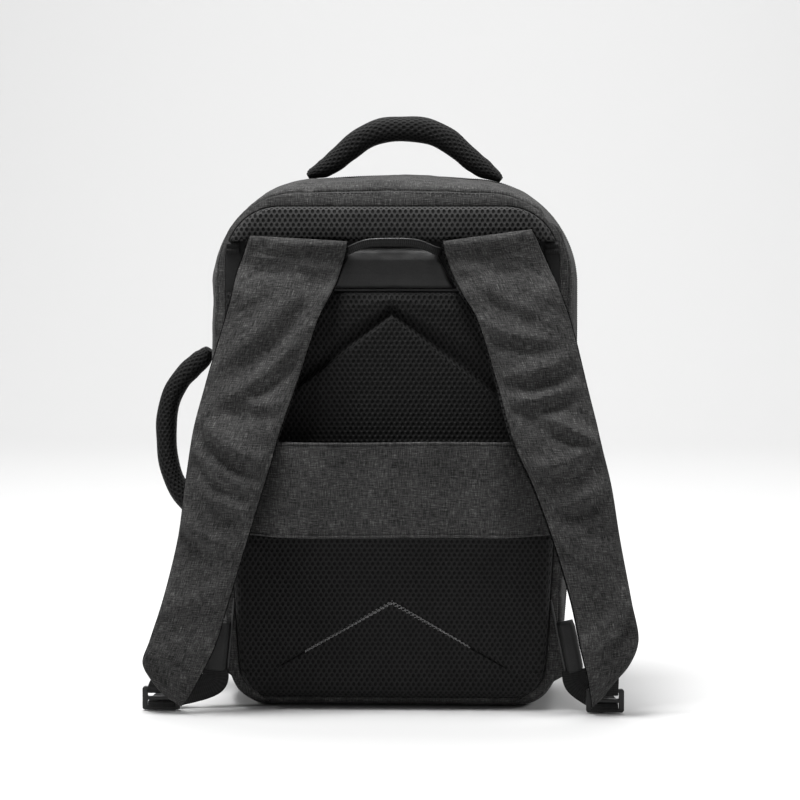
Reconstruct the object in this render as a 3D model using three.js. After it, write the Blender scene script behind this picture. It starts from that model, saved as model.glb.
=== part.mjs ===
// Travel backpack standing on its flat base: straps towards -Y, +Z up, millimetres.
// The origin is the middle of the base. Every neighbour is placed from the sizes below.
import * as THREE from "three";

// Body: one padded fabric wall, open towards the straps
const BODY_HEIGHT = 446;
const BODY_HALF_TOP = 154;
const BODY_HALF_BASE = 142;
const BODY_BOW = 4;
const BODY_TOP_ROUND = 88;
const BODY_BASE_ROUND = 36;
const BODY_TOP_CROWN = 3;
const BODY_WALL = 3;
const BODY_DEPTH = 144;
const GUSSET_BULGE = 4;
const STRAP_SIDE_Y = -70;
const RIM_DEPTH = 22;
const FRONT_ROUND = 30;
const FRONT_CROWN = 9;
const FRONT_EDGE_Y = STRAP_SIDE_Y + BODY_DEPTH - FRONT_ROUND;

// Mouth of the body wall, where the back is sewn in: it stands in from the body's outline by the rim
const RIM_SIDE_TOP = 13;
const RIM_SIDE_BASE = 11;
const RIM_ABOVE = 19;
const MOUTH_HALF_TOP = BODY_HALF_TOP - RIM_SIDE_TOP;
const MOUTH_HALF_BASE = BODY_HALF_BASE - RIM_SIDE_BASE;
const MOUTH_TOP = BODY_HEIGHT - RIM_ABOVE;
const MOUTH_FLOOR = 9;
const MOUTH_TOP_ROUND = 46;
const MOUTH_BASE_ROUND = 30;

// Clearances between neighbours, and the seam that is left round a pad
const GAP = 0.3;
const PAD_SEAM = 1;

// Back: the band hangs from the mouth's top, with the strap pocket's opening between it and the pad
const BACK_WALL = 3;
const PAD_THICK = 14;
const PAD_EDGE_ROUND = 0.08;
const PAD_EDGE_SHARE = 0.35;
const BAND_THICK = 8;
const BAND_DROP = 30;
const POCKET_OPENING = 43;
const BAND_BOTTOM = MOUTH_TOP - BAND_DROP;
const PAD_TOP = BAND_BOTTOM - POCKET_OPENING;
const PIPING_THICK = 3.4;
const PIPING_INSET = 6;
const PANEL_HALF_TOP = 35;
const PANEL_HALF_BASE = 52;
const PANEL_BELOW_BAND = 5.5;
const PANEL_THICK = 9;
const ZIP_TAPE_LENGTH = 11;
const ZIP_TAPE_TALL = 11;
const ZIP_TAPE_THICK = 3.2;
const LOOP_HALF = 41;
const LOOP_BELOW_BAND = 5.2;
const LOOP_TALL = 7;
const LOOP_THICK = 2.2;
const LOOP_STAND = 12;
const LOOP_ARCH = 7.9;

// Trolley sleeve
const SLEEVE_BOTTOM = 151;
const SLEEVE_TALL = 80;
const SLEEVE_SPREAD = 9.3;
const SLEEVE_STAND = 44;
const SLEEVE_THICK = 2.5;

// Shoulder straps
const STRAP_SPREAD = 200;
const STRAP_OVER_BAND = 3;
const STRAP_DROP = BAND_BOTTOM + STRAP_OVER_BAND;
const STRAP_STAND = 50;
const STRAP_THICK = 12;

// Carry handles
const HANDLE_WIDE = 26;
const TOP_HANDLE_SHIFT = 8;
const TOP_HANDLE_HALF = 88;
const TOP_HANDLE_RISE = 40;
const TOP_HANDLE_THICK = 22;
const SIDE_HANDLE_HALF = 82;
const SIDE_HANDLE_LIFT = 1;
const SIDE_HANDLE_MIDDLE = BODY_HEIGHT / 2 + SIDE_HANDLE_LIFT;
const SIDE_HANDLE_RISE = 43.5;
const SIDE_HANDLE_THICK = 17.5;
const HANDLE_Y = 4;

// Lower anchors, webbing and adjusters
const WING_TOP = 95;
const WING_SPREAD_LEFT = 10;
const WING_SPREAD_RIGHT = 17;
const WING_CORNER = 30;
const WING_FOOT = 4;
const WING_THICK = 2.6;
const TAB_WIDE_LEFT = 19;
const TAB_WIDE_RIGHT = 14;
const TAB_CROWN = 1;
const TAB_THICK = 6;
const TAB_FROM = 0.32;
const WEB_WIDE = 22;
const WEB_THICK = 1.6;
const LOCK_WIDE = 32;
const LOCK_TALL = 20;
const LOCK_THICK = 4.5;
const LOCK_RAIL = 4.5;
const LOCK_BAR = 3;
const LOCK_LEFT_INSET = 5;
const LOCK_RIGHT_INSET = 20;
const LOCK_LEFT_X = STRAP_SPREAD - LOCK_LEFT_INSET;
const LOCK_RIGHT_X = STRAP_SPREAD - LOCK_RIGHT_INSET;
const LOCK_Y = -89;
const LOCK_LIFT = 1;
const TAIL_LENGTH = 9;
const WEB_FROM = 1.007;
const WEB_TURN = 1.12;
const WEB_SLACK = 7;
const STRAP_END_FROM = 0.84;

// Main zip round the gusset
const ZIP_FROM_EDGE = 18;
const ZIP_Y = FRONT_EDGE_Y - ZIP_FROM_EDGE;
const ZIP_FROM = 1.7;
const SLIDER_PLACE = 2.28;
const ZIP_WIDE = 13;
const ZIP_TAPE = 1.2;
const ZIP_COIL_WIDE = 4.4;
const ZIP_COIL_TALL = 1.4;
const SLIDER_LONG = 13;
const SLIDER_WIDE = 9;
const SLIDER_TALL = 3.4;
const PULL_LONG = 24;
const PULL_THICK = 1.8;

// How finely round forms are cut, as steps for each stretch of the outline
const CORNER_STEPS = 7;
const SIDE_STEPS = 6;
const TOP_STEPS = 3;
const ROUND_STEPS = 4;
const STRAP_STEPS = 28;
const HANDLE_SIDES = 12;
const HANDLE_SQUARENESS = 0.8;

const BODY = {
  base: BODY_HALF_BASE,
  top: BODY_HALF_TOP,
  bow: BODY_BOW,
  floor: 0,
  height: BODY_HEIGHT,
  baseRound: BODY_BASE_ROUND,
  topRound: BODY_TOP_ROUND,
  crown: BODY_TOP_CROWN,
};
const MOUTH = {
  base: MOUTH_HALF_BASE,
  top: MOUTH_HALF_TOP,
  bow: BODY_BOW,
  floor: MOUTH_FLOOR,
  height: MOUTH_TOP,
  baseRound: MOUTH_BASE_ROUND,
  topRound: MOUTH_TOP_ROUND,
  crown: 0,
};

// Soft folds of the gusset: place along the outline and across the depth, size and depth as shares
const GUSSET_FOLDS = [
  { along: 2.25, across: 0.35, long: 0.3, wide: 0.16, depth: 0.5, side: 1 },
  { along: 2.7, across: 0.6, long: 0.22, wide: 0.2, depth: 0.45, side: 1 },
  { along: 3.45, across: 0.3, long: 0.2, wide: 0.14, depth: 0.6, side: 1 },
  { along: 2.2, across: 0.55, long: 0.26, wide: 0.18, depth: 0.5, side: -1 },
  { along: 3.4, across: 0.35, long: 0.22, wide: 0.16, depth: 0.5, side: -1 },
  { along: 4.3, across: 0.75, long: 0.3, wide: 0.2, depth: 0.3, side: -1 },
];

// Rows of the back pad: height as a share of the pad, fall of the row towards the sides, thickness share
const PAD_ROWS = [
  { height: 0, fall: 0, thick: 0.35 },
  { height: 0.012, fall: 0, thick: 0.7 },
  { height: 0.035, fall: 0, thick: 0.9 },
  { height: 0.075, fall: 0.02, thick: 0.98 },
  { height: 0.15, fall: 0.25, thick: 1 },
  { height: 0.228, fall: 0.55, thick: 1 },
  { height: 0.24, fall: 0.58, thick: 0.8 },
  { height: 0.252, fall: 0.6, thick: 1 },
  { height: 0.42, fall: 0.65, thick: 1.05 },
  { height: 0.62, fall: 0.7, thick: 1.05 },
  { height: 0.84, fall: 0.75, thick: 1.04 },
  { height: 0.93, fall: 0.75, thick: 1 },
  { height: 0.948, fall: 0.75, thick: 0.5 },
  { height: 0.962, fall: 0.73, thick: 0.42 },
  { height: 0.972, fall: 0.55, thick: 0.78 },
  { height: 0.985, fall: 0.2, thick: 0.8 },
  { height: 1, fall: 0, thick: 0.55 },
];

const BAND_ROWS = [
  { height: 0, thick: 0.5 },
  { height: 0.1, thick: 0.85 },
  { height: 0.4, thick: 1 },
  { height: 0.75, thick: 0.9 },
  { height: 0.92, thick: 0.7 },
  { height: 1, thick: 0.35 },
];

const PANEL_ROWS = [
  { height: 0, thick: 0.55 },
  { height: 0.2, thick: 0.9 },
  { height: 0.55, thick: 1 },
  { height: 0.85, thick: 0.75 },
  { height: 1, thick: 0.3 },
];

// The pocket's zip from its top edge down: two rows of coil that stand proud of the tape
const POCKET_ZIP_ROWS = [
  { down: 0, proud: 0.4 },
  { down: 0.12, proud: 1 },
  { down: 0.32, proud: 1 },
  { down: 0.45, proud: 0.35 },
  { down: 0.58, proud: 1 },
  { down: 0.78, proud: 1 },
  { down: 1, proud: 0.3 },
];

// Half of the sleeve's path, from the side seam to its middle
const SLEEVE_ROWS = [
  { across: 1, stand: -0.1 },
  { across: 0.98, stand: -0.035 },
  { across: 0.962, stand: 0.002 },
  { across: 0.952, stand: 0.1 },
  { across: 0.935, stand: 0.25 },
  { across: 0.88, stand: 0.43 },
  { across: 0.765, stand: 0.68 },
  { across: 0.68, stand: 0.87 },
  { across: 0.615, stand: 0.965 },
  { across: 0.55, stand: 1 },
  { across: 0.28, stand: 1 },
];

// Strap edges from the pocket down: x as a share of the spread, z of the drop, stand of the stand-off
const LEFT_STRAP_ROWS = [
  { outX: 0.6, outZ: 1.004, inX: 0.18, inZ: 0.992, outY: 0.3, inY: 0.3, thick: 0.75 },
  { outX: 0.615, outZ: 0.984, inX: 0.185, inZ: 0.978, outY: 0.25, inY: 0.25, thick: 1.05 },
  { outX: 0.63, outZ: 0.962, inX: 0.195, inZ: 0.958, outY: 0.175, inY: 0.175, thick: 1.2 },
  { outX: 0.655, outZ: 0.925, inX: 0.215, inZ: 0.922, outY: 0.21, inY: 0.22, thick: 1.15 },
  { outX: 0.67, outZ: 0.885, inX: 0.245, inZ: 0.885, outY: 0.4, inY: 0.42, thick: 1.05 },
  { outX: 0.7, outZ: 0.83, inX: 0.295, inZ: 0.835, outY: 0.46, inY: 0.52, thick: 1.05 },
  { outX: 0.775, outZ: 0.7, inX: 0.385, inZ: 0.7, outY: 0.56, inY: 0.7, thick: 1.05 },
  { outX: 0.83, outZ: 0.585, inX: 0.462, inZ: 0.585, outY: 0.72, inY: 1.04, thick: 1.05 },
  { outX: 0.855, outZ: 0.495, inX: 0.515, inZ: 0.495, outY: 0.78, inY: 1.07, thick: 1.05 },
  { outX: 0.89, outZ: 0.375, inX: 0.59, inZ: 0.375, outY: 0.78, inY: 1, thick: 1.05 },
  { outX: 0.955, outZ: 0.245, inX: 0.67, inZ: 0.245, outY: 0.76, inY: 0.88, thick: 1.05 },
  { outX: 1.015, outZ: 0.155, inX: 0.735, inZ: 0.145, outY: 0.7, inY: 0.76, thick: 1.05 },
  { outX: 1.045, outZ: 0.108, inX: 0.805, inZ: 0.075, outY: 0.66, inY: 0.68, thick: 1 },
  { outX: 1.01, outZ: 0.07, inX: 0.85, inZ: 0.035, outY: 0.62, inY: 0.62, thick: 0.9 },
  { outX: 0.955, outZ: 0.036, inX: 0.885, inZ: 0.014, outY: 0.6, inY: 0.6, thick: 0.7 },
];

const RIGHT_STRAP_ROWS = [
  { outX: 0.59, outZ: 1.018, inX: 0.205, inZ: 0.992, outY: 0.3, inY: 0.3, thick: 0.75 },
  { outX: 0.615, outZ: 0.994, inX: 0.21, inZ: 0.978, outY: 0.26, inY: 0.25, thick: 1.05 },
  { outX: 0.64, outZ: 0.966, inX: 0.22, inZ: 0.958, outY: 0.18, inY: 0.175, thick: 1.2 },
  { outX: 0.675, outZ: 0.925, inX: 0.245, inZ: 0.922, outY: 0.21, inY: 0.22, thick: 1.15 },
  { outX: 0.71, outZ: 0.885, inX: 0.285, inZ: 0.885, outY: 0.4, inY: 0.42, thick: 1.05 },
  { outX: 0.75, outZ: 0.83, inX: 0.345, inZ: 0.835, outY: 0.46, inY: 0.52, thick: 1.05 },
  { outX: 0.815, outZ: 0.7, inX: 0.43, inZ: 0.705, outY: 0.56, inY: 0.7, thick: 1.05 },
  { outX: 0.87, outZ: 0.585, inX: 0.5, inZ: 0.585, outY: 0.72, inY: 1.06, thick: 1.05 },
  { outX: 0.915, outZ: 0.49, inX: 0.58, inZ: 0.495, outY: 0.78, inY: 1.04, thick: 1.05 },
  { outX: 0.955, outZ: 0.375, inX: 0.67, inZ: 0.375, outY: 0.78, inY: 0.96, thick: 1.05 },
  { outX: 1.005, outZ: 0.245, inX: 0.75, inZ: 0.24, outY: 0.76, inY: 0.86, thick: 1.05 },
  { outX: 1.035, outZ: 0.16, inX: 0.79, inZ: 0.145, outY: 0.7, inY: 0.76, thick: 1.05 },
  { outX: 1.0, outZ: 0.112, inX: 0.82, inZ: 0.085, outY: 0.66, inY: 0.68, thick: 1 },
  { outX: 0.935, outZ: 0.07, inX: 0.835, inZ: 0.045, outY: 0.62, inY: 0.62, thick: 0.9 },
  { outX: 0.885, outZ: 0.036, inX: 0.845, inZ: 0.018, outY: 0.6, inY: 0.6, thick: 0.7 },
];

// Soft folds that cross a strap: place along it, slant over its width, width and depth as shares
const STRAP_FOLDS = [
  { along: 0.17, slant: 0.1, wide: 0.04, depth: 0.16 },
  { along: 0.3, slant: -0.12, wide: 0.035, depth: -0.14 },
  { along: 0.42, slant: -0.1, wide: 0.03, depth: 0.18 },
  { along: 0.5, slant: 0.08, wide: 0.03, depth: -0.12 },
  { along: 0.64, slant: 0.12, wide: 0.04, depth: 0.14 },
  { along: 0.8, slant: -0.08, wide: 0.05, depth: 0.12 },
];

// Half of each carry handle's path: share of the half chord, of the rise, of the thickness and of the width
const TOP_HANDLE_ROWS = [
  { along: 0.95, rise: 0, thick: 0.25, wide: 0.92 },
  { along: 0.89, rise: 0, thick: 0.48, wide: 0.96 },
  { along: 0.81, rise: 0.01, thick: 0.7, wide: 1 },
  { along: 0.74, rise: 0.08, thick: 0.8, wide: 1 },
  { along: 0.66, rise: 0.23, thick: 0.85, wide: 1 },
  { along: 0.56, rise: 0.45, thick: 0.9, wide: 1 },
  { along: 0.41, rise: 0.75, thick: 0.96, wide: 1 },
  { along: 0.22, rise: 0.955, thick: 1, wide: 1 },
  { along: 0, rise: 1, thick: 1, wide: 1 },
];
const SIDE_HANDLE_ROWS = [
  { along: 0.95, rise: 0, thick: 0.5, wide: 0.92 },
  { along: 0.915, rise: 0, thick: 0.72, wide: 0.97 },
  { along: 0.87, rise: 0.04, thick: 0.9, wide: 1 },
  { along: 0.81, rise: 0.16, thick: 1.02, wide: 1 },
  { along: 0.73, rise: 0.36, thick: 1.06, wide: 1 },
  { along: 0.62, rise: 0.6, thick: 1.04, wide: 1 },
  { along: 0.46, rise: 0.83, thick: 1, wide: 1 },
  { along: 0.24, rise: 0.97, thick: 1, wide: 1 },
  { along: 0, rise: 1, thick: 1, wide: 1 },
];

const MATERIALS = {
  heather: { color: 0x3d3d3c, roughness: 0.9, metalness: 0 },
  mesh: { color: 0x1c1c1c, roughness: 0.85, metalness: 0 },
  lining: { color: 0x242424, roughness: 0.6, metalness: 0 },
  webbing: { color: 0x161616, roughness: 0.75, metalness: 0 },
  plastic: { color: 0x101010, roughness: 0.4, metalness: 0 },
  zip: { color: 0x181818, roughness: 0.55, metalness: 0 },
};

const group = new THREE.Group();

function addPart(name, geometry, finish) {
  geometry.computeVertexNormals();
  const mesh = new THREE.Mesh(geometry, new THREE.MeshStandardMaterial(MATERIALS[finish]));
  mesh.name = name;
  group.add(mesh);
}

const lerp = (a, b, share) => a + (b - a) * share;

function signedVolume(points, index) {
  let sum = 0;
  for (let i = 0; i < index.length; i += 3) {
    const [a, b, c] = [points[index[i]], points[index[i + 1]], points[index[i + 2]]];
    sum += a.dot(new THREE.Vector3().crossVectors(b, c));
  }
  return sum / 6;
}

// A closed body from points and triangles, turned so that its faces point out
function closedBody(points, index) {
  const turned = signedVolume(points, index) < 0 ? [...index].reverse() : index;
  const geometry = new THREE.BufferGeometry();
  const values = points.flatMap((p) => [p.x, p.y, p.z]);
  geometry.setAttribute("position", new THREE.Float32BufferAttribute(values, 3));
  geometry.setIndex(turned);
  return geometry;
}

// A body lofted through closed rings of equal length, its ends closed by fans
function loft(rings) {
  const count = rings[0].length;
  const points = rings.flat();
  const index = [];
  for (let r = 0; r + 1 < rings.length; r += 1) {
    for (let i = 0; i < count; i += 1) {
      const a = r * count + i;
      const b = r * count + ((i + 1) % count);
      index.push(a, b, b + count, a, b + count, a + count);
    }
  }
  const middle = (ring) => ring.reduce((sum, p) => sum.add(p), new THREE.Vector3()).divideScalar(count);
  const first = points.push(middle(rings[0])) - 1;
  const last = points.push(middle(rings[rings.length - 1])) - 1;
  const end = (rings.length - 1) * count;
  for (let i = 0; i < count; i += 1) {
    const next = (i + 1) % count;
    index.push(first, next, i, last, end + i, end + next);
  }
  return closedBody(points, index);
}

// A body between two grids of points that share their border, such as a pad or a sheet
function slab(front, back) {
  const rows = front.length;
  const columns = front[0].length;
  const points = [...front.flat(), ...back.flat()];
  const offset = rows * columns;
  const index = [];
  const quad = (a, b, c, d) => index.push(a, b, c, a, c, d);
  for (let r = 0; r + 1 < rows; r += 1) {
    for (let c = 0; c + 1 < columns; c += 1) {
      const a = r * columns + c;
      quad(a, a + 1, a + columns + 1, a + columns);
      quad(offset + a, offset + a + columns, offset + a + columns + 1, offset + a + 1);
    }
  }
  for (let c = 0; c + 1 < columns; c += 1) {
    const top = (rows - 1) * columns + c;
    quad(c, offset + c, offset + c + 1, c + 1);
    quad(top, top + 1, offset + top + 1, offset + top);
  }
  for (let r = 0; r + 1 < rows; r += 1) {
    const left = r * columns;
    const right = left + columns - 1;
    quad(left, left + columns, offset + left + columns, offset + left);
    quad(right, offset + right, offset + right + columns, right + columns);
  }
  return closedBody(points, index);
}

// Right half of an outline: place 1 to 2 is the lower corner, 2 to 3 the side, 3 to 4 the upper
// corner, 4 to 5 the top run to the middle. The base run joins both halves in one straight edge.
function outlineAt(size, place) {
  const stretch = Math.min(Math.floor(place), 4);
  const share = place - stretch;
  const sideLow = size.floor + size.baseRound;
  const sideHigh = size.height - size.topRound;
  if (stretch === 1) {
    const angle = (share * Math.PI) / 2;
    const x = size.base - size.baseRound + size.baseRound * Math.sin(angle);
    return { x, z: sideLow - size.baseRound * Math.cos(angle) };
  }
  if (stretch === 2) {
    const x = lerp(size.base, size.top, share) + size.bow * Math.sin(Math.PI * share);
    return { x, z: lerp(sideLow, sideHigh, share) };
  }
  const run = size.top - size.topRound;
  if (stretch === 3) {
    const angle = (share * Math.PI) / 2;
    return { x: run + size.topRound * Math.cos(angle), z: sideHigh + size.topRound * Math.sin(angle) };
  }
  return { x: run * (1 - share), z: size.height + size.crown * (1 - (1 - share) ** 2) };
}

function halfPlaces() {
  const places = [];
  for (let i = 0; i < CORNER_STEPS; i += 1) places.push(1 + i / CORNER_STEPS);
  for (let i = 0; i < SIDE_STEPS; i += 1) places.push(2 + i / SIDE_STEPS);
  for (let i = 0; i < CORNER_STEPS; i += 1) places.push(3 + i / CORNER_STEPS);
  for (let i = 0; i <= TOP_STEPS; i += 1) places.push(4 + i / TOP_STEPS);
  return places;
}

// Places of the right half with their side, 1, and then back down the left half with -1
function bothSides(places) {
  const right = places.map((place) => ({ place, side: 1 }));
  const left = places.slice(0, -1).reverse().map((place) => ({ place, side: -1 }));
  return [...right, ...left];
}

function ringPlaces() {
  return bothSides(halfPlaces());
}

function foldDepth(place, side, across) {
  let depth = 0;
  for (const fold of GUSSET_FOLDS) {
    if (fold.side !== side) continue;
    const a = (place - fold.along) / fold.long;
    const b = (across - fold.across) / fold.wide;
    depth += fold.depth * GUSSET_BULGE * Math.exp(-a * a - b * b);
  }
  return depth;
}

// Outer surface of the body: across runs from 0 at the mouth to 1 where the gusset meets the front.
const GUSSET_START = STRAP_SIDE_Y + RIM_DEPTH;

function gussetPoint(place, side, y, out = 0) {
  const edge = outlineAt(BODY, place);
  const step = 1e-3;
  const before = outlineAt(BODY, Math.max(place - step, 1));
  const after = outlineAt(BODY, Math.min(place + step, 5));
  const length = Math.hypot(after.x - before.x, after.z - before.z);
  const nx = (after.z - before.z) / length;
  const nz = (before.x - after.x) / length;
  const across = THREE.MathUtils.clamp((y - GUSSET_START) / (FRONT_EDGE_Y - GUSSET_START), 0, 1);
  const free = nz < 0 ? nx * nx : 1;
  const swell = (GUSSET_BULGE * Math.sin(Math.PI * across) - foldDepth(place, side, across)) * free;
  const reach = swell + out;
  return new THREE.Vector3(side * (edge.x + nx * reach), y, edge.z + nz * reach);
}

function rimRing(share) {
  const angle = (share * Math.PI) / 2;
  const y = STRAP_SIDE_Y + RIM_DEPTH * (1 - Math.cos(angle));
  return ringPlaces().map(({ place, side }) => {
    const mouth = outlineAt(MOUTH, place);
    const body = outlineAt(BODY, place);
    const x = lerp(mouth.x, body.x, Math.sin(angle));
    return new THREE.Vector3(side * x, y, lerp(mouth.z, body.z, Math.sin(angle)));
  });
}

function gussetRing(share) {
  const y = lerp(GUSSET_START, FRONT_EDGE_Y, share);
  return ringPlaces().map(({ place, side }) => gussetPoint(place, side, y));
}

function frontRing(share) {
  const angle = (share * Math.PI) / 2;
  const inset = FRONT_ROUND * (1 - Math.cos(angle));
  const y = FRONT_EDGE_Y + FRONT_ROUND * Math.sin(angle);
  return ringPlaces().map(({ place, side }) => {
    const point = gussetPoint(place, side, FRONT_EDGE_Y, -inset);
    return new THREE.Vector3(point.x, y, point.z);
  });
}

function faceRing(shrink) {
  const middle = new THREE.Vector3(0, 0, BODY_HEIGHT / 2);
  return frontRing(1).map((point) => {
    const moved = point.clone().sub(middle).multiplyScalar(shrink).add(middle);
    moved.y = point.y + FRONT_CROWN * (1 - shrink * shrink);
    return moved;
  });
}

// Each point of the ring grid moved inwards, square to the surface, by the wall
function innerRings(rings, wall) {
  const count = rings[0].length;
  return rings.map((ring, r) => ring.map((point, i) => {
    const along = rings[Math.min(r + 1, rings.length - 1)][i].clone().sub(rings[Math.max(r - 1, 0)][i]);
    const round = ring[(i + 1) % count].clone().sub(ring[(i + count - 1) % count]);
    const normal = new THREE.Vector3().crossVectors(along, round).normalize();
    if (r === 0) normal.set(0, -1, 0);
    return point.clone().addScaledVector(normal, -wall);
  }));
}

function bodyShell() {
  const outer = [];
  for (let i = 0; i < ROUND_STEPS; i += 1) outer.push(rimRing(i / ROUND_STEPS));
  for (const share of [0, 0.2, 0.4, 0.62, 0.82, 1]) outer.push(gussetRing(share));
  for (let i = 1; i <= ROUND_STEPS; i += 1) outer.push(frontRing(i / ROUND_STEPS));
  for (const shrink of [0.8, 0.5, 0.2]) outer.push(faceRing(shrink));
  return loft([...innerRings(outer, BODY_WALL).reverse(), ...outer]);
}

// The mouth's outline, drawn in by a clearance, and its half width at a height
function drawnIn(size, by) {
  return {
    ...size,
    base: size.base - by,
    top: size.top - by,
    floor: size.floor + by,
    height: size.height - by,
    baseRound: size.baseRound - by,
    topRound: size.topRound - by,
  };
}

function halfWidth(size, z) {
  const samples = [];
  for (let place = 1; place <= 4; place += 1 / 16) samples.push(outlineAt(size, place));
  if (z <= samples[0].z) return samples[0].x;
  for (let i = 1; i < samples.length; i += 1) {
    const [low, high] = [samples[i - 1], samples[i]];
    if (z <= high.z) return lerp(low.x, high.x, (z - low.z) / Math.max(high.z - low.z, 1e-6));
  }
  return samples[samples.length - 1].x;
}

function backWall() {
  const size = drawnIn(MOUTH, GAP);
  const ring = (y) => ringPlaces().map(({ place, side }) => {
    const point = outlineAt(size, place);
    return new THREE.Vector3(side * point.x, y, point.z);
  });
  return loft([ring(STRAP_SIDE_Y), ring(STRAP_SIDE_Y + BACK_WALL)]);
}

const SEAT_Y = STRAP_SIDE_Y - GAP;
const PAD_SIZE = drawnIn(MOUTH, PAD_SEAM);
const PAD_COLUMNS = [1, 0.975, 0.92, 0.8, 0.62, 0.42, 0.2, 0, -0.2, -0.42, -0.62, -0.8, -0.92, -0.975, -1];

// How full a pad is at a share of its half width: thin at the sewn edge, full inside
function edgeShare(across) {
  const inside = Math.min((1 - Math.abs(across)) / PAD_EDGE_ROUND, 1);
  return lerp(PAD_EDGE_SHARE, 1, Math.sqrt(inside * (2 - inside)));
}

function backPad() {
  const tall = PAD_TOP - PAD_SIZE.floor;
  const front = [];
  const back = [];
  for (const row of PAD_ROWS) {
    const peak = PAD_SIZE.floor + row.height * tall;
    const half = halfWidth(PAD_SIZE, peak - row.fall * halfWidth(PAD_SIZE, peak));
    const place = (across) => [half * across, peak - row.fall * half * Math.abs(across)];
    const thick = (across) => PAD_THICK * row.thick * edgeShare(across);
    const at = (across, depth) => new THREE.Vector3(place(across)[0], SEAT_Y - depth, place(across)[1]);
    front.push(PAD_COLUMNS.map((across) => at(across, thick(across))));
    back.push(PAD_COLUMNS.map((across) => at(across, 0)));
  }
  return slab(front, back);
}

// A puffed panel on the back wall, from rows of height and thickness and a half width at each height
function puffedPanel(rows, columns, low, high, halfAt, thickness) {
  const front = [];
  const back = [];
  for (const row of rows) {
    const z = lerp(low, high, row.height);
    const half = halfAt(z);
    front.push(columns.map((across) => {
      return new THREE.Vector3(half * across, SEAT_Y - thickness * row.thick * edgeShare(across), z);
    }));
    back.push(columns.map((across) => new THREE.Vector3(half * across, SEAT_Y, z)));
  }
  return slab(front, back);
}

function topMeshBand() {
  const halfAt = (z) => halfWidth(PAD_SIZE, z);
  return puffedPanel(BAND_ROWS, PAD_COLUMNS, BAND_BOTTOM, PAD_SIZE.height, halfAt, BAND_THICK);
}

const PANEL_BOTTOM = PAD_TOP + GAP + PIPING_THICK + GAP;
const PANEL_TOP = BAND_BOTTOM - PANEL_BELOW_BAND;

function pocketPanel() {
  const columns = [1, 0.93, 0.75, 0.4, 0, -0.4, -0.75, -0.93, -1];
  const halfAt = (z) => {
    return lerp(PANEL_HALF_BASE, PANEL_HALF_TOP, (z - PANEL_BOTTOM) / (PANEL_TOP - PANEL_BOTTOM));
  };
  return puffedPanel(PANEL_ROWS, columns, PANEL_BOTTOM, PANEL_TOP, halfAt, PANEL_THICK);
}

// A ribbon or bar: a rectangular section carried along places that each give a point and its two sides
function ribbon(stations, wide, thick) {
  return loft(stations.map(({ point, across, through }) => {
    const corner = (a, b) => {
      const shifted = point.clone().addScaledVector(across, (a * wide) / 2);
      return shifted.addScaledVector(through, (b * thick) / 2);
    };
    return [corner(-1, -1), corner(1, -1), corner(1, 1), corner(-1, 1)];
  }));
}

function pocketPiping() {
  const radius = PIPING_THICK / 2;
  const sides = 8;
  const z = PAD_TOP + GAP + radius;
  const half = halfWidth(PAD_SIZE, PAD_TOP) - PIPING_INSET;
  const ring = (x) => Array.from({ length: sides }, (_, i) => {
    const angle = ((i + 0.5) / sides) * 2 * Math.PI;
    return new THREE.Vector3(x, SEAT_Y - radius * (1 + Math.cos(angle)), z + radius * Math.sin(angle));
  });
  return loft([-1, -0.5, 0, 0.5, 1].map((share) => ring(share * half)));
}

// End of the strap pocket's zip: a tape with two rows of coil, running in from the side seam
function pocketZip(side) {
  const outer = halfWidth(PAD_SIZE, BAND_BOTTOM - ZIP_TAPE_TALL);
  const top = BAND_BOTTOM - GAP;
  const xs = [outer, outer - ZIP_TAPE_LENGTH].map((x) => side * x);
  const line = (down, y) => xs.map((x) => new THREE.Vector3(x, y, top - down * ZIP_TAPE_TALL));
  const front = POCKET_ZIP_ROWS.map(({ down, proud }) => line(down, SEAT_Y - ZIP_TAPE_THICK * proud));
  const back = POCKET_ZIP_ROWS.map(({ down }) => line(down, SEAT_Y));
  return slab(front, back);
}

// Loop between the straps: it leaves the wall at both ends and stands off in a low arch
function hangLoop() {
  const steps = 16;
  const low = BAND_BOTTOM - LOOP_BELOW_BAND - LOOP_TALL / 2;
  const stations = [];
  for (let i = 0; i <= steps; i += 1) {
    const share = (2 * i) / steps - 1;
    const lift = 1 - share ** 4;
    const stand = LOOP_STAND * Math.cbrt(lift);
    const z = low + LOOP_ARCH * lift * lift;
    stations.push({
      point: new THREE.Vector3(LOOP_HALF * share, SEAT_Y - LOOP_THICK / 2 - stand, z),
      across: new THREE.Vector3(0, 0, 1),
      through: new THREE.Vector3(0, 1, 0),
    });
  }
  return ribbon(stations, LOOP_TALL, LOOP_THICK);
}

// Sleeve: a sheet that leaves both side seams, bends round and crosses the back at its stand-off
function trolleySleeve() {
  const half = halfWidth(MOUTH, SLEEVE_BOTTOM + SLEEVE_TALL / 2) + SLEEVE_SPREAD;
  const path = [
    ...SLEEVE_ROWS.map(({ across, stand }) => [across, stand]),
    [0, 1],
    ...[...SLEEVE_ROWS].reverse().map(({ across, stand }) => [-across, stand]),
  ].map(([across, stand]) => {
    return new THREE.Vector2(across * half, SEAT_Y - SLEEVE_THICK / 2 - stand * SLEEVE_STAND);
  });
  const side = (offset) => path.map((point, i) => {
    const before = path[Math.max(i - 1, 0)];
    const after = path[Math.min(i + 1, path.length - 1)];
    const direction = after.clone().sub(before).normalize();
    return new THREE.Vector2(point.x + direction.y * offset, point.y - direction.x * offset);
  });
  const heights = [0, 0.5, 1].map((share) => SLEEVE_BOTTOM + share * SLEEVE_TALL);
  const grid = (offset) => heights.map((z) => side(offset).map((p) => new THREE.Vector3(p.x, p.y, z)));
  return slab(grid(-SLEEVE_THICK / 2), grid(SLEEVE_THICK / 2));
}

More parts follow.
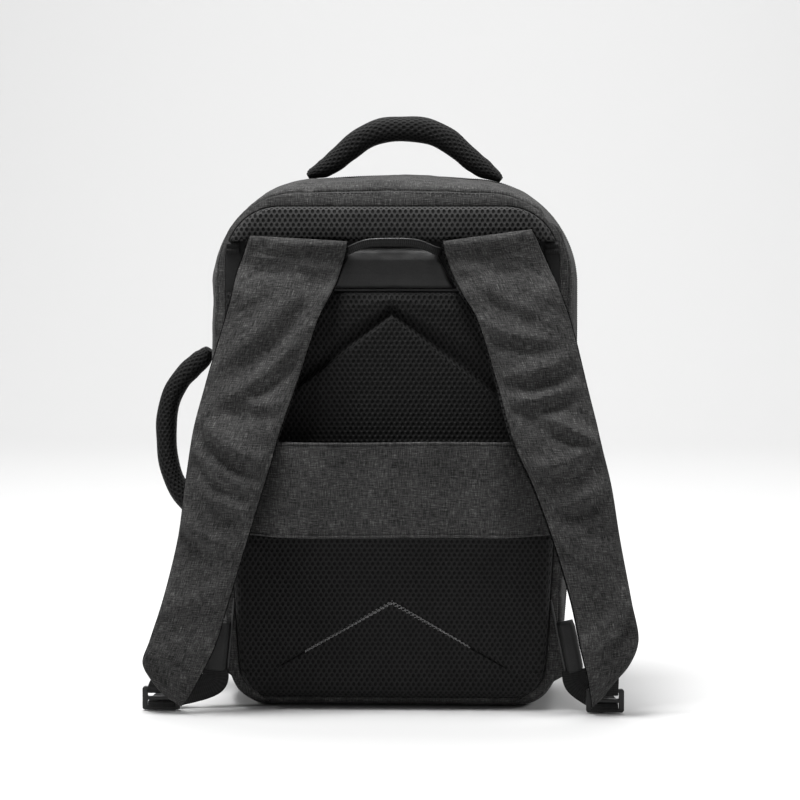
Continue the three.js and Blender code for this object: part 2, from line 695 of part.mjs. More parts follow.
function strapFold(along, across) {
  let depth = 0;
  for (const fold of STRAP_FOLDS) {
    const distance = (along - fold.along - fold.slant * across * 0.5) / fold.wide;
    depth += fold.depth * Math.exp(-distance * distance);
  }
  return depth * STRAP_THICK;
}

// Surface of a padded strap: down runs from 0 at the pocket to 1 at the tip, share from -1 at the outer
// edge to 1 at the inner one, face is 1 in front and -1 behind, out is a distance off that face
function strapSurface(rows, side) {
  const curve = (x, y, z) => new THREE.CatmullRomCurve3(rows.map((row) => {
    const stand = row[y] * STRAP_STAND;
    return new THREE.Vector3(side * row[x] * STRAP_SPREAD, STRAP_SIDE_Y - stand, row[z] * STRAP_DROP);
  }));
  const outer = curve("outX", "outY", "outZ");
  const inner = curve("inX", "inY", "inZ");
  const middle = (down) => outer.getPoint(down).add(inner.getPoint(down)).multiplyScalar(0.5);
  return (down, share, face, out = 0) => {
    const edge = outer.getPoint(down);
    const across = inner.getPoint(down).sub(edge);
    const along = middle(Math.min(down + 0.02, 1)).sub(middle(Math.max(down - 0.02, 0)));
    const through = new THREE.Vector3().crossVectors(along, across).normalize();
    if (through.y > 0) through.negate();
    const place = down * (rows.length - 1);
    const row = Math.min(Math.floor(place), rows.length - 2);
    const half = (STRAP_THICK / 2) * lerp(rows[row].thick, rows[row + 1].thick, place - row);
    const full = Math.cbrt(1 - Math.abs(share) ** 3);
    const shift = strapFold(down, share) + face * (half * full + out);
    return edge.addScaledVector(across, (share + 1) / 2).addScaledVector(through, shift);
  };
}

function strap(rows, side) {
  const surface = strapSurface(rows, side);
  const section = [-1, -0.97, -0.8, -0.4, 0, 0.4, 0.8, 0.97, 1];
  const rings = [];
  for (let i = 0; i <= STRAP_STEPS; i += 1) {
    const down = i / STRAP_STEPS;
    const front = section.map((share) => surface(down, share, 1));
    const back = section.slice(1, -1).reverse().map((share) => surface(down, share, -1));
    rings.push([...front, ...back]);
  }
  return loft(rings);
}

// Carry handle: a padded bar whose flat ends lie on the body. surface(a) is the body's surface under
// the place a along the chord, out the direction away from it.
function handle(surface, rows, half, rise, thick) {
  const path = [
    ...rows.map((row) => ({ ...row, sign: -1 })),
    ...rows.slice(0, -1).reverse().map((row) => ({ ...row, sign: 1 })),
  ];
  const centre = path.map((row) => {
    const { point, out } = surface(row.sign * row.along * half);
    const clear = GAP + (row.thick * thick) / 2;
    return point.clone().addScaledVector(out, clear + row.rise * (rise - thick / 2));
  });
  return loft(centre.map((point, i) => {
    const before = centre[Math.max(i - 1, 0)];
    const along = centre[Math.min(i + 1, centre.length - 1)].clone().sub(before).normalize();
    const wide = new THREE.Vector3(0, 1, 0);
    const through = new THREE.Vector3().crossVectors(along, wide).normalize();
    return Array.from({ length: HANDLE_SIDES }, (_, k) => {
      const angle = (k / HANDLE_SIDES) * 2 * Math.PI;
      const round = (value) => Math.sign(value) * Math.abs(value) ** HANDLE_SQUARENESS;
      return point.clone()
        .addScaledVector(wide, round(Math.cos(angle)) * path[i].wide * HANDLE_WIDE / 2)
        .addScaledVector(through, round(Math.sin(angle)) * path[i].thick * thick / 2);
    });
  }));
}

function topSurface(a) {
  const x = TOP_HANDLE_SHIFT + a;
  const run = BODY_HALF_TOP - BODY_TOP_ROUND;
  const round = Math.asin(Math.max(Math.abs(x) - run, 0) / BODY_TOP_ROUND) / (Math.PI / 2);
  const place = 5 - Math.min(Math.abs(x) / run, 1) - round;
  const point = gussetPoint(place, x < 0 ? -1 : 1, HANDLE_Y);
  return { point: point.setX(x), out: new THREE.Vector3(0, 0, 1) };
}

function sideSurface(a) {
  const z = SIDE_HANDLE_MIDDLE + a;
  const place = 2 + (z - BODY_BASE_ROUND) / (BODY_HEIGHT - BODY_TOP_ROUND - BODY_BASE_ROUND);
  return { point: gussetPoint(place, -1, HANDLE_Y), out: new THREE.Vector3(-1, 0, 0) };
}

// Lower anchor: a fabric wing in the side seam, with a folded tab along its free edge
const LEFT_ANCHOR = { reach: MOUTH_HALF_BASE + WING_SPREAD_LEFT, tab: TAB_WIDE_LEFT };
const RIGHT_ANCHOR = { reach: MOUTH_HALF_BASE + WING_SPREAD_RIGHT, tab: TAB_WIDE_RIGHT };

function anchor(side) {
  return side < 0 ? LEFT_ANCHOR : RIGHT_ANCHOR;
}

function wingEdge(side, share, out = 0) {
  const top = new THREE.Vector2(halfWidth(PAD_SIZE, WING_TOP) + PAD_SEAM, WING_TOP);
  const corner = new THREE.Vector2(anchor(side).reach, WING_CORNER);
  const along = corner.clone().sub(top);
  const normal = new THREE.Vector2(-along.y, along.x).normalize();
  const point = top.addScaledVector(along, share).addScaledVector(normal, out);
  return new THREE.Vector2(side * point.x, point.y);
}

function extrudeBack(outline, thick) {
  const shape = new THREE.Shape(outline);
  const geometry = new THREE.ExtrudeGeometry(shape, { depth: thick, bevelEnabled: false });
  geometry.rotateX(Math.PI / 2);
  geometry.translate(0, SEAT_Y, 0);
  return geometry;
}

function strapWing(side) {
  const inner = [0.02, 0.15, 0.35, 0.6, 0.85, 1].map((share) => {
    const z = lerp(WING_FOOT + MOUTH_FLOOR, WING_TOP, share);
    return new THREE.Vector2(side * (halfWidth(PAD_SIZE, z) + PAD_SEAM), z);
  });
  const foot = new THREE.Vector2(side * (halfWidth(PAD_SIZE, PAD_SIZE.floor) + PAD_SEAM), WING_FOOT);
  return extrudeBack([...inner, wingEdge(side, 0.5), wingEdge(side, 1), foot], WING_THICK);
}

function strapTab(side) {
  const outer = GAP + anchor(side).tab;
  const corners = [
    { along: TAB_FROM, out: GAP },
    { along: 1, out: GAP },
    { along: 1, out: outer },
    { along: 0.9, out: outer + TAB_CROWN },
    { along: 0.5, out: outer + TAB_CROWN },
    { along: TAB_FROM, out: outer },
  ];
  const outline = corners.map(({ along, out }) => wingEdge(side, along, out));
  return extrudeBack(outline, TAB_THICK);
}

const LOCK_Z = LOCK_LIFT + LOCK_TALL / 2;
const SLOT_TALL = (LOCK_TALL - 3 * LOCK_BAR) / 2;
const SLOT_STEP = (SLOT_TALL + LOCK_BAR) / 2;
const WEB_SEAT = (SLOT_TALL - WEB_THICK) / 2 - 2 * GAP;

// Ladder lock: a flat frame with cut corners and two slots between its three bars
function ladderLock(side, x) {
  const [w, h] = [LOCK_WIDE / 2, LOCK_TALL / 2];
  const cut = LOCK_BAR / 2;
  const corners = [[-w, -h + cut], [-w + cut, -h], [w - cut, -h], [w, -h + cut],
    [w, h - cut], [w - cut, h], [-w + cut, h], [-w, h - cut]];
  const shape = new THREE.Shape(corners.map(([a, b]) => new THREE.Vector2(a, b)));
  for (const middle of [-SLOT_STEP, SLOT_STEP]) {
    const hole = [[-1, -1], [1, -1], [1, 1], [-1, 1]].map(([a, b]) => {
      return new THREE.Vector2(a * (w - LOCK_RAIL), middle + (b * SLOT_TALL) / 2);
    });
    shape.holes.push(new THREE.Path(hole));
  }
  const geometry = new THREE.ExtrudeGeometry(shape, { depth: LOCK_THICK, bevelEnabled: false });
  geometry.rotateX(Math.PI / 2);
  geometry.translate(side * x, LOCK_Y + LOCK_THICK / 2, LOCK_Z);
  return geometry;
}

// A soft ribbon through hand-set places, its width kept as near to X as its run allows
function webbing(side, places) {
  const curve = new THREE.CatmullRomCurve3(places.map(([x, y, z]) => new THREE.Vector3(side * x, y, z)));
  const steps = 4 * (places.length - 1);
  const stations = [];
  for (let i = 0; i <= steps; i += 1) {
    const t = i / steps;
    const before = curve.getPoint(Math.max(t - 0.01, 0));
    const along = curve.getPoint(Math.min(t + 0.01, 1)).sub(before).normalize();
    const across = new THREE.Vector3(1, 0, 0).addScaledVector(along, -along.x).normalize();
    const through = new THREE.Vector3().crossVectors(along, across).normalize();
    stations.push({ point: curve.getPoint(t), across, through });
  }
  return ribbon(stations, WEB_WIDE, WEB_THICK);
}

// From under the tab's lower end down behind the strap, and through the adjuster's lower slot
function lowerWebbing(side, x) {
  const [start, turn] = [WEB_FROM, WEB_TURN].map((share) => wingEdge(side, share, GAP + anchor(side).tab / 2));
  const slot = LOCK_Z - SLOT_STEP + WEB_SEAT;
  const behind = LOCK_Y + LOCK_THICK / 2;
  const out = SEAT_Y - WING_THICK - 2 * GAP - WEB_THICK / 2;
  const front = LOCK_Y - LOCK_THICK / 2;
  return webbing(side, [
    [side * start.x, out, start.y],
    [side * turn.x, out - GAP, turn.y],
    [lerp(side * start.x, x, 0.66), behind + 1.6 * WEB_SLACK, slot + 0.7 * WEB_SLACK],
    [x, behind + WEB_SLACK, slot + GAP],
    [x, behind + 0.4 * WEB_SLACK, slot],
    [x, LOCK_Y, slot],
    [x, front - 0.9 * WEB_THICK, slot - 0.3 * WEB_THICK],
    [x, front - 1.6 * WEB_THICK, slot - TAIL_LENGTH / 2],
  ]);
}

// Sewn to the back of the strap's end, then down through the adjuster's upper slot
function strapEnd(side, x, rows) {
  const slot = LOCK_Z + SLOT_STEP + WEB_SEAT;
  const surface = strapSurface(rows, side);
  const front = LOCK_Y - LOCK_THICK / 2;
  const seat = (down) => {
    const point = surface(down, 0, -1, 2 * GAP + WEB_THICK / 2);
    return [side * point.x, point.y, point.z];
  };
  return webbing(side, [
    [x, LOCK_Y + LOCK_THICK / 2 + 1.5, slot - 1],
    [x, LOCK_Y, slot - GAP / 2],
    [x, front - WEB_THICK, slot],
    [x, front - 1.6 * WEB_THICK, slot + LOCK_BAR],
    seat(STRAP_END_FROM + 0.03),
    seat(STRAP_END_FROM),
  ]);
}

// Main zip: a tape with a raised coil that follows the gusset from one lower corner to the other
function mainZip() {
  const coil = ZIP_COIL_WIDE / 2;
  const tape = ZIP_WIDE / 2;
  const high = GAP + ZIP_TAPE;
  const section = [[-tape, GAP], [-tape, high], [-coil, high], [-coil, high + ZIP_COIL_TALL],
    [coil, high + ZIP_COIL_TALL], [coil, high], [tape, high], [tape, GAP]];
  const places = [ZIP_FROM, ...halfPlaces().filter((place) => place > ZIP_FROM)];
  return loft(bothSides(places).map(({ place, side }) => {
    return section.map(([dy, out]) => gussetPoint(place, side, ZIP_Y + dy, out));
  }));
}

function mainZipSlider() {
  const base = gussetPoint(SLIDER_PLACE, 1, ZIP_Y);
  const out = gussetPoint(SLIDER_PLACE, 1, ZIP_Y, 1).sub(base).normalize();
  const along = new THREE.Vector3(out.z, 0, -out.x);
  const low = GAP + ZIP_TAPE + ZIP_COIL_TALL + GAP;
  const profile = [[0, low], [SLIDER_LONG, low], [SLIDER_LONG, low + SLIDER_TALL - PULL_THICK],
    [PULL_LONG, low + SLIDER_TALL - PULL_THICK], [PULL_LONG, low + SLIDER_TALL], [0, low + SLIDER_TALL]];
  const corner = ([a, o], dy) => base.clone().addScaledVector(along, a).addScaledVector(out, o)
    .add(new THREE.Vector3(0, dy, 0));
  const half = SLIDER_WIDE / 2;
  const shape = profile.map((p) => new THREE.Vector2(p[0], p[1]));
  const faces = THREE.ShapeUtils.triangulateShape(shape, []);
  const points = [...profile.map((p) => corner(p, -half)), ...profile.map((p) => corner(p, half))];
  const count = profile.length;
  const index = [];
  for (const [a, b, c] of faces) index.push(a, b, c, count + a, count + c, count + b);
  for (let i = 0; i < count; i += 1) {
    const next = (i + 1) % count;
    index.push(i, count + i, count + next, i, count + next, next);
  }
  return closedBody(points, index);
}

addPart("body_shell", bodyShell(), "heather");
addPart("back_wall", backWall(), "lining");
addPart("back_pad", backPad(), "mesh");
addPart("top_mesh_band", topMeshBand(), "mesh");
addPart("pocket_piping", pocketPiping(), "lining");
addPart("pocket_panel", pocketPanel(), "lining");
addPart("hang_loop", hangLoop(), "webbing");
addPart("trolley_sleeve", trolleySleeve(), "heather");
const topHandle = handle(topSurface, TOP_HANDLE_ROWS, TOP_HANDLE_HALF, TOP_HANDLE_RISE, TOP_HANDLE_THICK);
const sideHandle = handle(sideSurface, SIDE_HANDLE_ROWS, SIDE_HANDLE_HALF, SIDE_HANDLE_RISE, SIDE_HANDLE_THICK);
addPart("top_handle", topHandle, "mesh");
addPart("side_handle", sideHandle, "mesh");
for (const [name, side] of [["left", -1], ["right", 1]]) {
  const lockX = side < 0 ? LOCK_LEFT_X : LOCK_RIGHT_X;
  const rows = side < 0 ? LEFT_STRAP_ROWS : RIGHT_STRAP_ROWS;
  addPart(`strap_${name}`, strap(rows, side), "heather");
  addPart(`pocket_zip_${name}`, pocketZip(side), "zip");
  addPart(`strap_wing_${name}`, strapWing(side), "heather");
  addPart(`strap_tab_${name}`, strapTab(side), "lining");
  addPart(`webbing_${name}`, lowerWebbing(side, lockX), "webbing");
  addPart(`ladder_lock_${name}`, ladderLock(side, lockX), "plastic");
  addPart(`strap_end_${name}`, strapEnd(side, lockX, rows), "webbing");
}
addPart("main_zip", mainZip(), "zip");
addPart("main_zip_slider", mainZipSlider(), "plastic");

export default group;
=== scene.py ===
"""Travel backpack standing on its base: fabric, air mesh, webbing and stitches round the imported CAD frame.

Shapes are worked out in millimetres, +Z up and the straps towards -Y, and become meshes in metres.
"""

import bmesh
import bpy
import numpy as np
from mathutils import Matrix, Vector


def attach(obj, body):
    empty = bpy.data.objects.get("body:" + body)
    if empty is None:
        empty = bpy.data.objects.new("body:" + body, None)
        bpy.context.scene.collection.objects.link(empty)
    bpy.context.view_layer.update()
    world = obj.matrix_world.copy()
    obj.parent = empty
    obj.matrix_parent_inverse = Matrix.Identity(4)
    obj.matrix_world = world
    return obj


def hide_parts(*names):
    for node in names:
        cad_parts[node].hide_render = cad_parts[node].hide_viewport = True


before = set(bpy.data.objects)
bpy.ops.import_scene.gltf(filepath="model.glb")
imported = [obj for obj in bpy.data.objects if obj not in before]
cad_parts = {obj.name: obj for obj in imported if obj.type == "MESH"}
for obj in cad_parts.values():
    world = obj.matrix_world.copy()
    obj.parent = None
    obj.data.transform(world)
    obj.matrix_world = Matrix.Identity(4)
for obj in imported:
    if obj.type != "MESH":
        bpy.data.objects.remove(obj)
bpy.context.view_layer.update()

MM = 0.001
MERGE = 1e-4

# Body outline and mouth, as in the CAD source
BODY = dict(base=142, top=154, bow=4, floor=0, height=446, base_round=36, top_round=88, crown=3)
MOUTH = dict(base=131, top=141, bow=4, floor=9, height=427, base_round=30, top_round=46, crown=0)
STRAP_SIDE_Y = -70
RIM_DEPTH = 22
GUSSET_START_Y = STRAP_SIDE_Y + RIM_DEPTH
FRONT_EDGE_Y = 44
FRONT_ROUND = 30
FRONT_CROWN = 9
GUSSET_BULGE = 4
BODY_WALL = 3
GAP = 0.3
SEAT_Y = STRAP_SIDE_Y - GAP
PAD_SEAM = 1
PAD_TOP = 354
PAD_THICK = 14
BAND_BOTTOM = 397
BAND_THICK = 8


# Meshes


def interpolate(low, high, share):
    """Straight-line mix of two values."""
    return low + (high - low) * share


def smooth(low, high, values):
    """0 below low, 1 above high and a smooth cubic step in between."""
    share = np.clip((values - low) / (high - low), 0, 1)
    return share * share * (3 - 2 * share)


def bump(values, middle, width):
    """Bell curve of height 1 round a middle."""
    return np.exp(-(((values - middle) / width) ** 2))


def soft_noise(points, size, seed):
    """Smooth noise from -1 to 1: a sum of sine waves in seeded directions, each about one size long."""
    random = np.random.default_rng(seed)
    waves = 14
    directions = random.normal(size=(waves, 3))
    directions /= np.linalg.norm(directions, axis=1)[:, None]
    lengths = size * random.uniform(0.6, 1.7, waves)
    shifts = random.uniform(0, 2 * np.pi, waves)
    angles = points @ (directions * (2 * np.pi / lengths)[:, None]).T + shifts
    return np.sin(angles).sum(-1) / np.sqrt(waves) / 1.2


def grid_faces(rows, columns, round_rows=False, round_columns=False):
    """Quads over a grid of rows by columns points, joined across its border where it runs round."""
    row = np.arange(rows if round_rows else rows - 1)[:, None]
    column = np.arange(columns if round_columns else columns - 1)[None, :]
    next_row = (row + 1) % rows
    next_column = (column + 1) % columns
    corners = [row * columns + column, row * columns + next_column,
               next_row * columns + next_column, next_row * columns + column]
    return np.stack(np.broadcast_arrays(*corners), -1).reshape(-1, 4)


def patch(grid, pattern=None, round_columns=False):
    """A grid of points as points, quads and pattern coordinates at each quad's corners.

    The pattern grid has one column more than the points where the columns run round.
    """
    grid = np.asarray(grid, float)
    rows, columns = grid.shape[:2]
    faces = grid_faces(rows, columns, round_columns=round_columns)
    corner_pattern = None
    if pattern is not None:
        pattern = np.asarray(pattern, float)
        corner_pattern = pattern.reshape(-1, 2)[grid_faces(rows, pattern.shape[1])]
    return grid.reshape(-1, 3), faces, corner_pattern


def joined(patches):
    """Several patches as one list of points and faces; the pattern is kept where every patch has one."""
    offset = 0
    points, faces, patterns = [], [], []
    for part_points, part_faces, part_pattern in patches:
        points.append(part_points)
        faces.append(part_faces + offset)
        patterns.append(part_pattern)
        offset += len(part_points)
    known = all(pattern is not None for pattern in patterns)
    return np.concatenate(points), np.concatenate(faces), np.concatenate(patterns) if known else None


def box_pattern(points, faces):
    """Pattern coordinates in millimetres, seen along the axis that each face looks along most."""
    corners = points[faces]
    normal = np.cross(corners[:, 2] - corners[:, 0], corners[:, 3] - corners[:, 1])
    axis = np.abs(normal).argmax(1)
    seen = np.array([[1, 2], [0, 2], [0, 1]])[axis]
    return np.take_along_axis(corners, np.broadcast_to(seen[:, None, :], (len(faces), 4, 2)), 2)


def add_piece(name, patches, finish, replaces=(), sharp=40):
    """A closed mesh from patches: points closer than MERGE become one, folded quads become triangles, and
    faces point out."""
    points, faces, pattern = joined(patches)
    if pattern is None:
        pattern = box_pattern(points, faces)
    _, first, merged = np.unique(np.round(points / MERGE), axis=0, return_index=True, return_inverse=True)
    faces = merged.reshape(-1)[faces]
    points = points[first]
    distinct = faces != np.roll(faces, -1, axis=1)
    kept = distinct.sum(1) >= 3
    faces, distinct, pattern = faces[kept], distinct[kept], pattern[kept]
    mesh = bpy.data.meshes.new(name)
    lists = [face[keep].tolist() for face, keep in zip(faces, distinct)]
    mesh.from_pydata((points * MM).tolist(), [], lists)
    layer = mesh.uv_layers.new(name="weave")
    layer.data.foreach_set("uv", (pattern[distinct] * MM).astype(np.float32).ravel())
    made = bmesh.new()
    made.from_mesh(mesh)
    bmesh.ops.recalc_face_normals(made, faces=made.faces)
    made.to_mesh(mesh)
    made.free()
    mesh.shade_smooth()
    mesh.set_sharp_from_angle(angle=np.radians(sharp))
    mesh.materials.append(finish)
    piece = bpy.data.objects.new(name, mesh)
    bpy.context.scene.collection.objects.link(piece)
    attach(piece, "root")
    if replaces:
        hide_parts(*replaces)
    return piece


def distances_along(path):
    """Length of a path from its start to each of its points."""
    return np.concatenate([[0], np.cumsum(np.linalg.norm(np.diff(path, axis=0), axis=1))])


def resampled(path, step):
    """Points of a path at equal steps along its length, with their distances."""
    path = np.asarray(path, float)
    lengths = distances_along(path)
    count = max(int(round(lengths[-1] / step)), 1)
    wanted = np.linspace(0, lengths[-1], count + 1)
    return np.stack([np.interp(wanted, lengths, path[:, axis]) for axis in range(3)], -1), wanted


def unit(vectors):
    """Vectors scaled to length 1."""
    return vectors / np.maximum(np.linalg.norm(vectors, axis=-1, keepdims=True), 1e-9)


def directions_along(path):
    """Unit tangents of a path."""
    return unit(np.gradient(np.asarray(path, float), axis=0))


def tube(path, wide, thick, across, sides=16, squareness=1.0):
    """A closed bar: a superellipse of the given full width and thickness carried along a path.

    across gives the width's direction at each station; the pattern runs round the bar and along it.
    """
    path = np.asarray(path, float)
    along = directions_along(path)
    across = unit(across - along * (across * along).sum(-1, keepdims=True))
    through = np.cross(along, across)
    angle = np.arange(sides) / sides * 2 * np.pi
    first = np.sign(np.cos(angle)) * np.abs(np.cos(angle)) ** squareness
    second = np.sign(np.sin(angle)) * np.abs(np.sin(angle)) ** squareness
    wide = np.broadcast_to(wide, len(path))[:, None, None] / 2
    thick = np.broadcast_to(thick, len(path))[:, None, None] / 2
    rings = (path[:, None, :] + across[:, None, :] * first[None, :, None] * wide
             + through[:, None, :] * second[None, :, None] * thick)
    round_length = np.linspace(0, 1, sides + 1)[None, :] * (np.pi * (wide.max() + thick.max()))
    run = distances_along(path)
    pattern = np.stack(np.broadcast_arrays(round_length, run[:, None]), -1)
    ends = []
    for ring, place in ((rings[0], run[0]), (rings[-1], run[-1])):
        cap_pattern = np.zeros((2, sides + 1, 2))
        cap_pattern[..., 0] = round_length
        cap_pattern[..., 1] = place
        middle = np.broadcast_to(ring.mean(0), ring.shape)
        ends.append(patch(np.stack([ring, middle]), cap_pattern, round_columns=True))
    return [patch(rings, pattern, round_columns=True), *ends]


def stitch_patches(path, normals, pitch=3.4, length=2.5, wide=0.7, high=0.45):
    """A row of thread stitches: short bars with round ends, laid along a path on a surface."""
    places, _ = resampled(path, pitch)
    lengths = distances_along(path)
    middles = np.linspace(0, lengths[-1], len(places))[:-1] + lengths[-1] / (len(places) - 1) / 2
    centre = np.stack([np.interp(middles, lengths, np.asarray(path)[:, axis]) for axis in range(3)], -1)
    normals = np.broadcast_to(np.asarray(normals, float), np.shape(path))
    out = unit(np.stack([np.interp(middles, lengths, normals[:, axis]) for axis in range(3)], -1))
    along = unit(np.diff(places, axis=0))
    across = unit(np.cross(out, along))
    stations = np.array([-1, -0.8, 0, 0.8, 1]) * length / 2
    full = np.array([0, 0.75, 1, 0.75, 0])
    rings, sides = len(stations), 6
    angle = np.arange(sides) / sides * 2 * np.pi
    offset_across = full[:, None] * np.cos(angle)[None, :] * wide / 2
    offset_out = full[:, None] * np.sin(angle)[None, :] * high
    grid = (centre[:, None, None, :] + along[:, None, None, :] * stations[None, :, None, None]
            + across[:, None, None, :] * offset_across[None, :, :, None]
            + out[:, None, None, :] * offset_out[None, :, :, None])
    count = len(centre)
    one = grid_faces(rings, sides, round_columns=True)
    faces = (one[None] + (np.arange(count) * rings * sides)[:, None, None]).reshape(-1, 4)
    return grid.reshape(-1, 3), faces, None


# Finishes


def new_finish(name, roughness, sheen=0.0, coat=0.0, gloss=0.12):
    """A material with its node tree and its surface shader, whose even values are set on the shader."""
    finish = bpy.data.materials.new(name)
    finish.use_nodes = True
    shader = finish.node_tree.nodes["Principled BSDF"]
    shader.inputs["Roughness"].default_value = roughness
    shader.inputs["Specular IOR Level"].default_value = gloss
    shader.inputs["Sheen Weight"].default_value = sheen
    shader.inputs["Sheen Roughness"].default_value = 0.4
    shader.inputs["Coat Weight"].default_value = coat
    shader.inputs["Coat Roughness"].default_value = 0.35
    return finish, finish.node_tree, shader


def add_node(tree, kind, **values):
    """A node with its properties set, and its inputs where a value's name is an input's."""
    node = tree.nodes.new(kind)
    for key, value in values.items():
        if key in node.inputs:
            node.inputs[key].default_value = value
        else:
            setattr(node, key, value)
    return node


def math(tree, operation, *inputs, clamp=False):
    """A math node on sockets or plain numbers; returns its output."""
    node = tree.nodes.new("ShaderNodeMath")
    node.operation = operation
    node.use_clamp = clamp
    for place, value in enumerate(inputs):
        if isinstance(value, (int, float)):
            node.inputs[place].default_value = value
        else:
            tree.links.new(value, node.inputs[place])
    return node.outputs[0]


def weave_coordinates(tree, scale):
    """The piece's own pattern coordinates, which are metres on the cloth, times a scale along each axis."""
    source = add_node(tree, "ShaderNodeUVMap", uv_map="weave")
    mapping = add_node(tree, "ShaderNodeMapping")
    mapping.inputs["Scale"].default_value = (*scale, 1)
    tree.links.new(source.outputs["UV"], mapping.inputs["Vector"])
    return mapping.outputs["Vector"]


def noise(tree, vector, scale, detail=3.0, roughness=0.6):
    """Noise on a vector; returns its grey value."""
    node = add_node(tree, "ShaderNodeTexNoise")
    node.inputs["Scale"].default_value = scale
    node.inputs["Detail"].default_value = detail
    node.inputs["Roughness"].default_value = roughness
    tree.links.new(vector, node.inputs["Vector"])
    return node.outputs[0]


def ramp(tree, value, stops):
    """Colours at places from 0 to 1, mixed smoothly between them."""
    node = tree.nodes.new("ShaderNodeValToRGB")
    node.color_ramp.interpolation = "EASE"
    elements = node.color_ramp.elements
    while len(elements) < len(stops):
        elements.new(0.5)
    for element, (place, colour) in zip(elements, stops):
        element.position = place
        element.color = (*colour, 1)
    tree.links.new(value, node.inputs[0])
    return node.outputs["Color"]


def add_bump(tree, shader, height, distance, strength=1.0):
    """Bump from a height of 0 to 1, deep as a distance in metres."""
    node = tree.nodes.new("ShaderNodeBump")
    node.inputs["Strength"].default_value = strength
    node.inputs["Distance"].default_value = distance
    tree.links.new(height, node.inputs["Height"])
    tree.links.new(node.outputs["Normal"], shader.inputs["Normal"])


def grey(value, warm=1.0):
    """A nearly neutral dark colour, a touch warmer where warm is over 1."""
    return (value * warm, value, value / warm)


def heather_finish():
    """Charcoal cloth of two-tone threads: long light and dark slubs along both thread directions, a fine
    plain weave as bump, and slow patches where the cloth has rubbed paler."""
    finish, tree, shader = new_finish("heather_fabric", 0.86, sheen=0.03)
    down = noise(tree, weave_coordinates(tree, (1600, 120)), 1.0, detail=4, roughness=0.65)
    over = noise(tree, weave_coordinates(tree, (120, 1600)), 1.0, detail=4, roughness=0.65)
    fine = noise(tree, weave_coordinates(tree, (1200, 1200)), 1.0, detail=2)
    slow = noise(tree, weave_coordinates(tree, (22, 22)), 1.0, detail=2)
    threads = math(tree, "ADD", math(tree, "MULTIPLY", down, 0.5), math(tree, "MULTIPLY", over, 0.5))
    mixed = math(tree, "ADD", math(tree, "MULTIPLY", threads, 0.78), math(tree, "MULTIPLY", fine, 0.12))
    mixed = math(tree, "ADD", mixed, math(tree, "MULTIPLY", slow, 0.1))
    colour = ramp(tree, mixed, ((0.39, grey(0.006)), (0.46, grey(0.022, 1.01)), (0.53, grey(0.052, 1.01)),
                                (0.62, grey(0.15, 1.02))))
    tree.links.new(colour, shader.inputs["Base Color"])
    add_bump(tree, shader, mixed, 0.0005, 0.75)
    return finish


def mesh_finish(name, light, dark, across=5.0, down=8.4):
    """Air mesh: rows of upright oval holes, each second row shifted by half a pitch, so that the strands
    left between them form a diamond net; holes are dark from their rims inwards, partly the black layer
    beneath and partly painted shade in their depth, and the strands between them are paler."""
    finish, tree, shader = new_finish(name, 0.7, gloss=0.16)
    vector = weave_coordinates(tree, (1000 / across, 1000 / down))
    split = tree.nodes.new("ShaderNodeSeparateXYZ")
    tree.links.new(vector, split.inputs[0])
    holes = []
    for shift in (0.0, 0.5):
        x = math(tree, "SUBTRACT", math(tree, "FRACT", math(tree, "ADD", split.outputs[0], shift)), 0.5)
        y = math(tree, "SUBTRACT", math(tree, "FRACT", math(tree, "ADD", split.outputs[1], shift)), 0.5)
        x = math(tree, "MULTIPLY", math(tree, "ABSOLUTE", x), 1 / 0.3)
        y = math(tree, "MULTIPLY", math(tree, "ABSOLUTE", y), 1 / 0.25)
        far = math(tree, "ADD", math(tree, "POWER", x, 2.0), math(tree, "POWER", y, 1.7))
        holes.append(math(tree, "SUBTRACT", 1.25, far, clamp=True))
    hole = math(tree, "MAXIMUM", *holes)
    yarn = noise(tree, weave_coordinates(tree, (2600, 2600)), 1.0, detail=2)
    rubbed = noise(tree, weave_coordinates(tree, (28, 28)), 1.0, detail=2)
    strand = math(tree, "SUBTRACT", 1.0, hole)
    height = math(tree, "ADD", math(tree, "MULTIPLY", strand, 0.9), math(tree, "MULTIPLY", yarn, 0.1))
    tone = math(tree, "MULTIPLY", height, math(tree, "ADD", math(tree, "MULTIPLY", rubbed, 0.5), 0.75))
    colour = ramp(tree, tone, ((0.12, grey(dark)), (0.45, grey(dark * 2.2)), (0.72, grey(light * 0.6)),
                               (1.0, grey(light, 1.01))))
    tree.links.new(colour, shader.inputs["Base Color"])
    add_bump(tree, shader, height, 0.0011, 0.9)
    return finish


def smooth_finish(name, value, roughness, grain=420, depth=0.0003, coat=0.0):
    """Smooth dark cloth or coated fabric: a fine even grain and slow soft changes of tone."""
    finish, tree, shader = new_finish(name, roughness, coat=coat, gloss=0.25)
    fine = noise(tree, weave_coordinates(tree, (grain, grain)), 1.0, detail=4)
    slow = noise(tree, weave_coordinates(tree, (35, 35)), 1.0, detail=2)
    mixed = math(tree, "ADD", math(tree, "MULTIPLY", fine, 0.5), math(tree, "MULTIPLY", slow, 0.5))
    colour = ramp(tree, mixed, ((0.3, grey(value * 0.7)), (0.7, grey(value * 1.35))))
    tree.links.new(colour, shader.inputs["Base Color"])
    uneven = math(tree, "ADD", math(tree, "MULTIPLY", fine, 0.2), roughness - 0.1)
    tree.links.new(uneven, shader.inputs["Roughness"])
    add_bump(tree, shader, fine, depth, 0.6)
    return finish


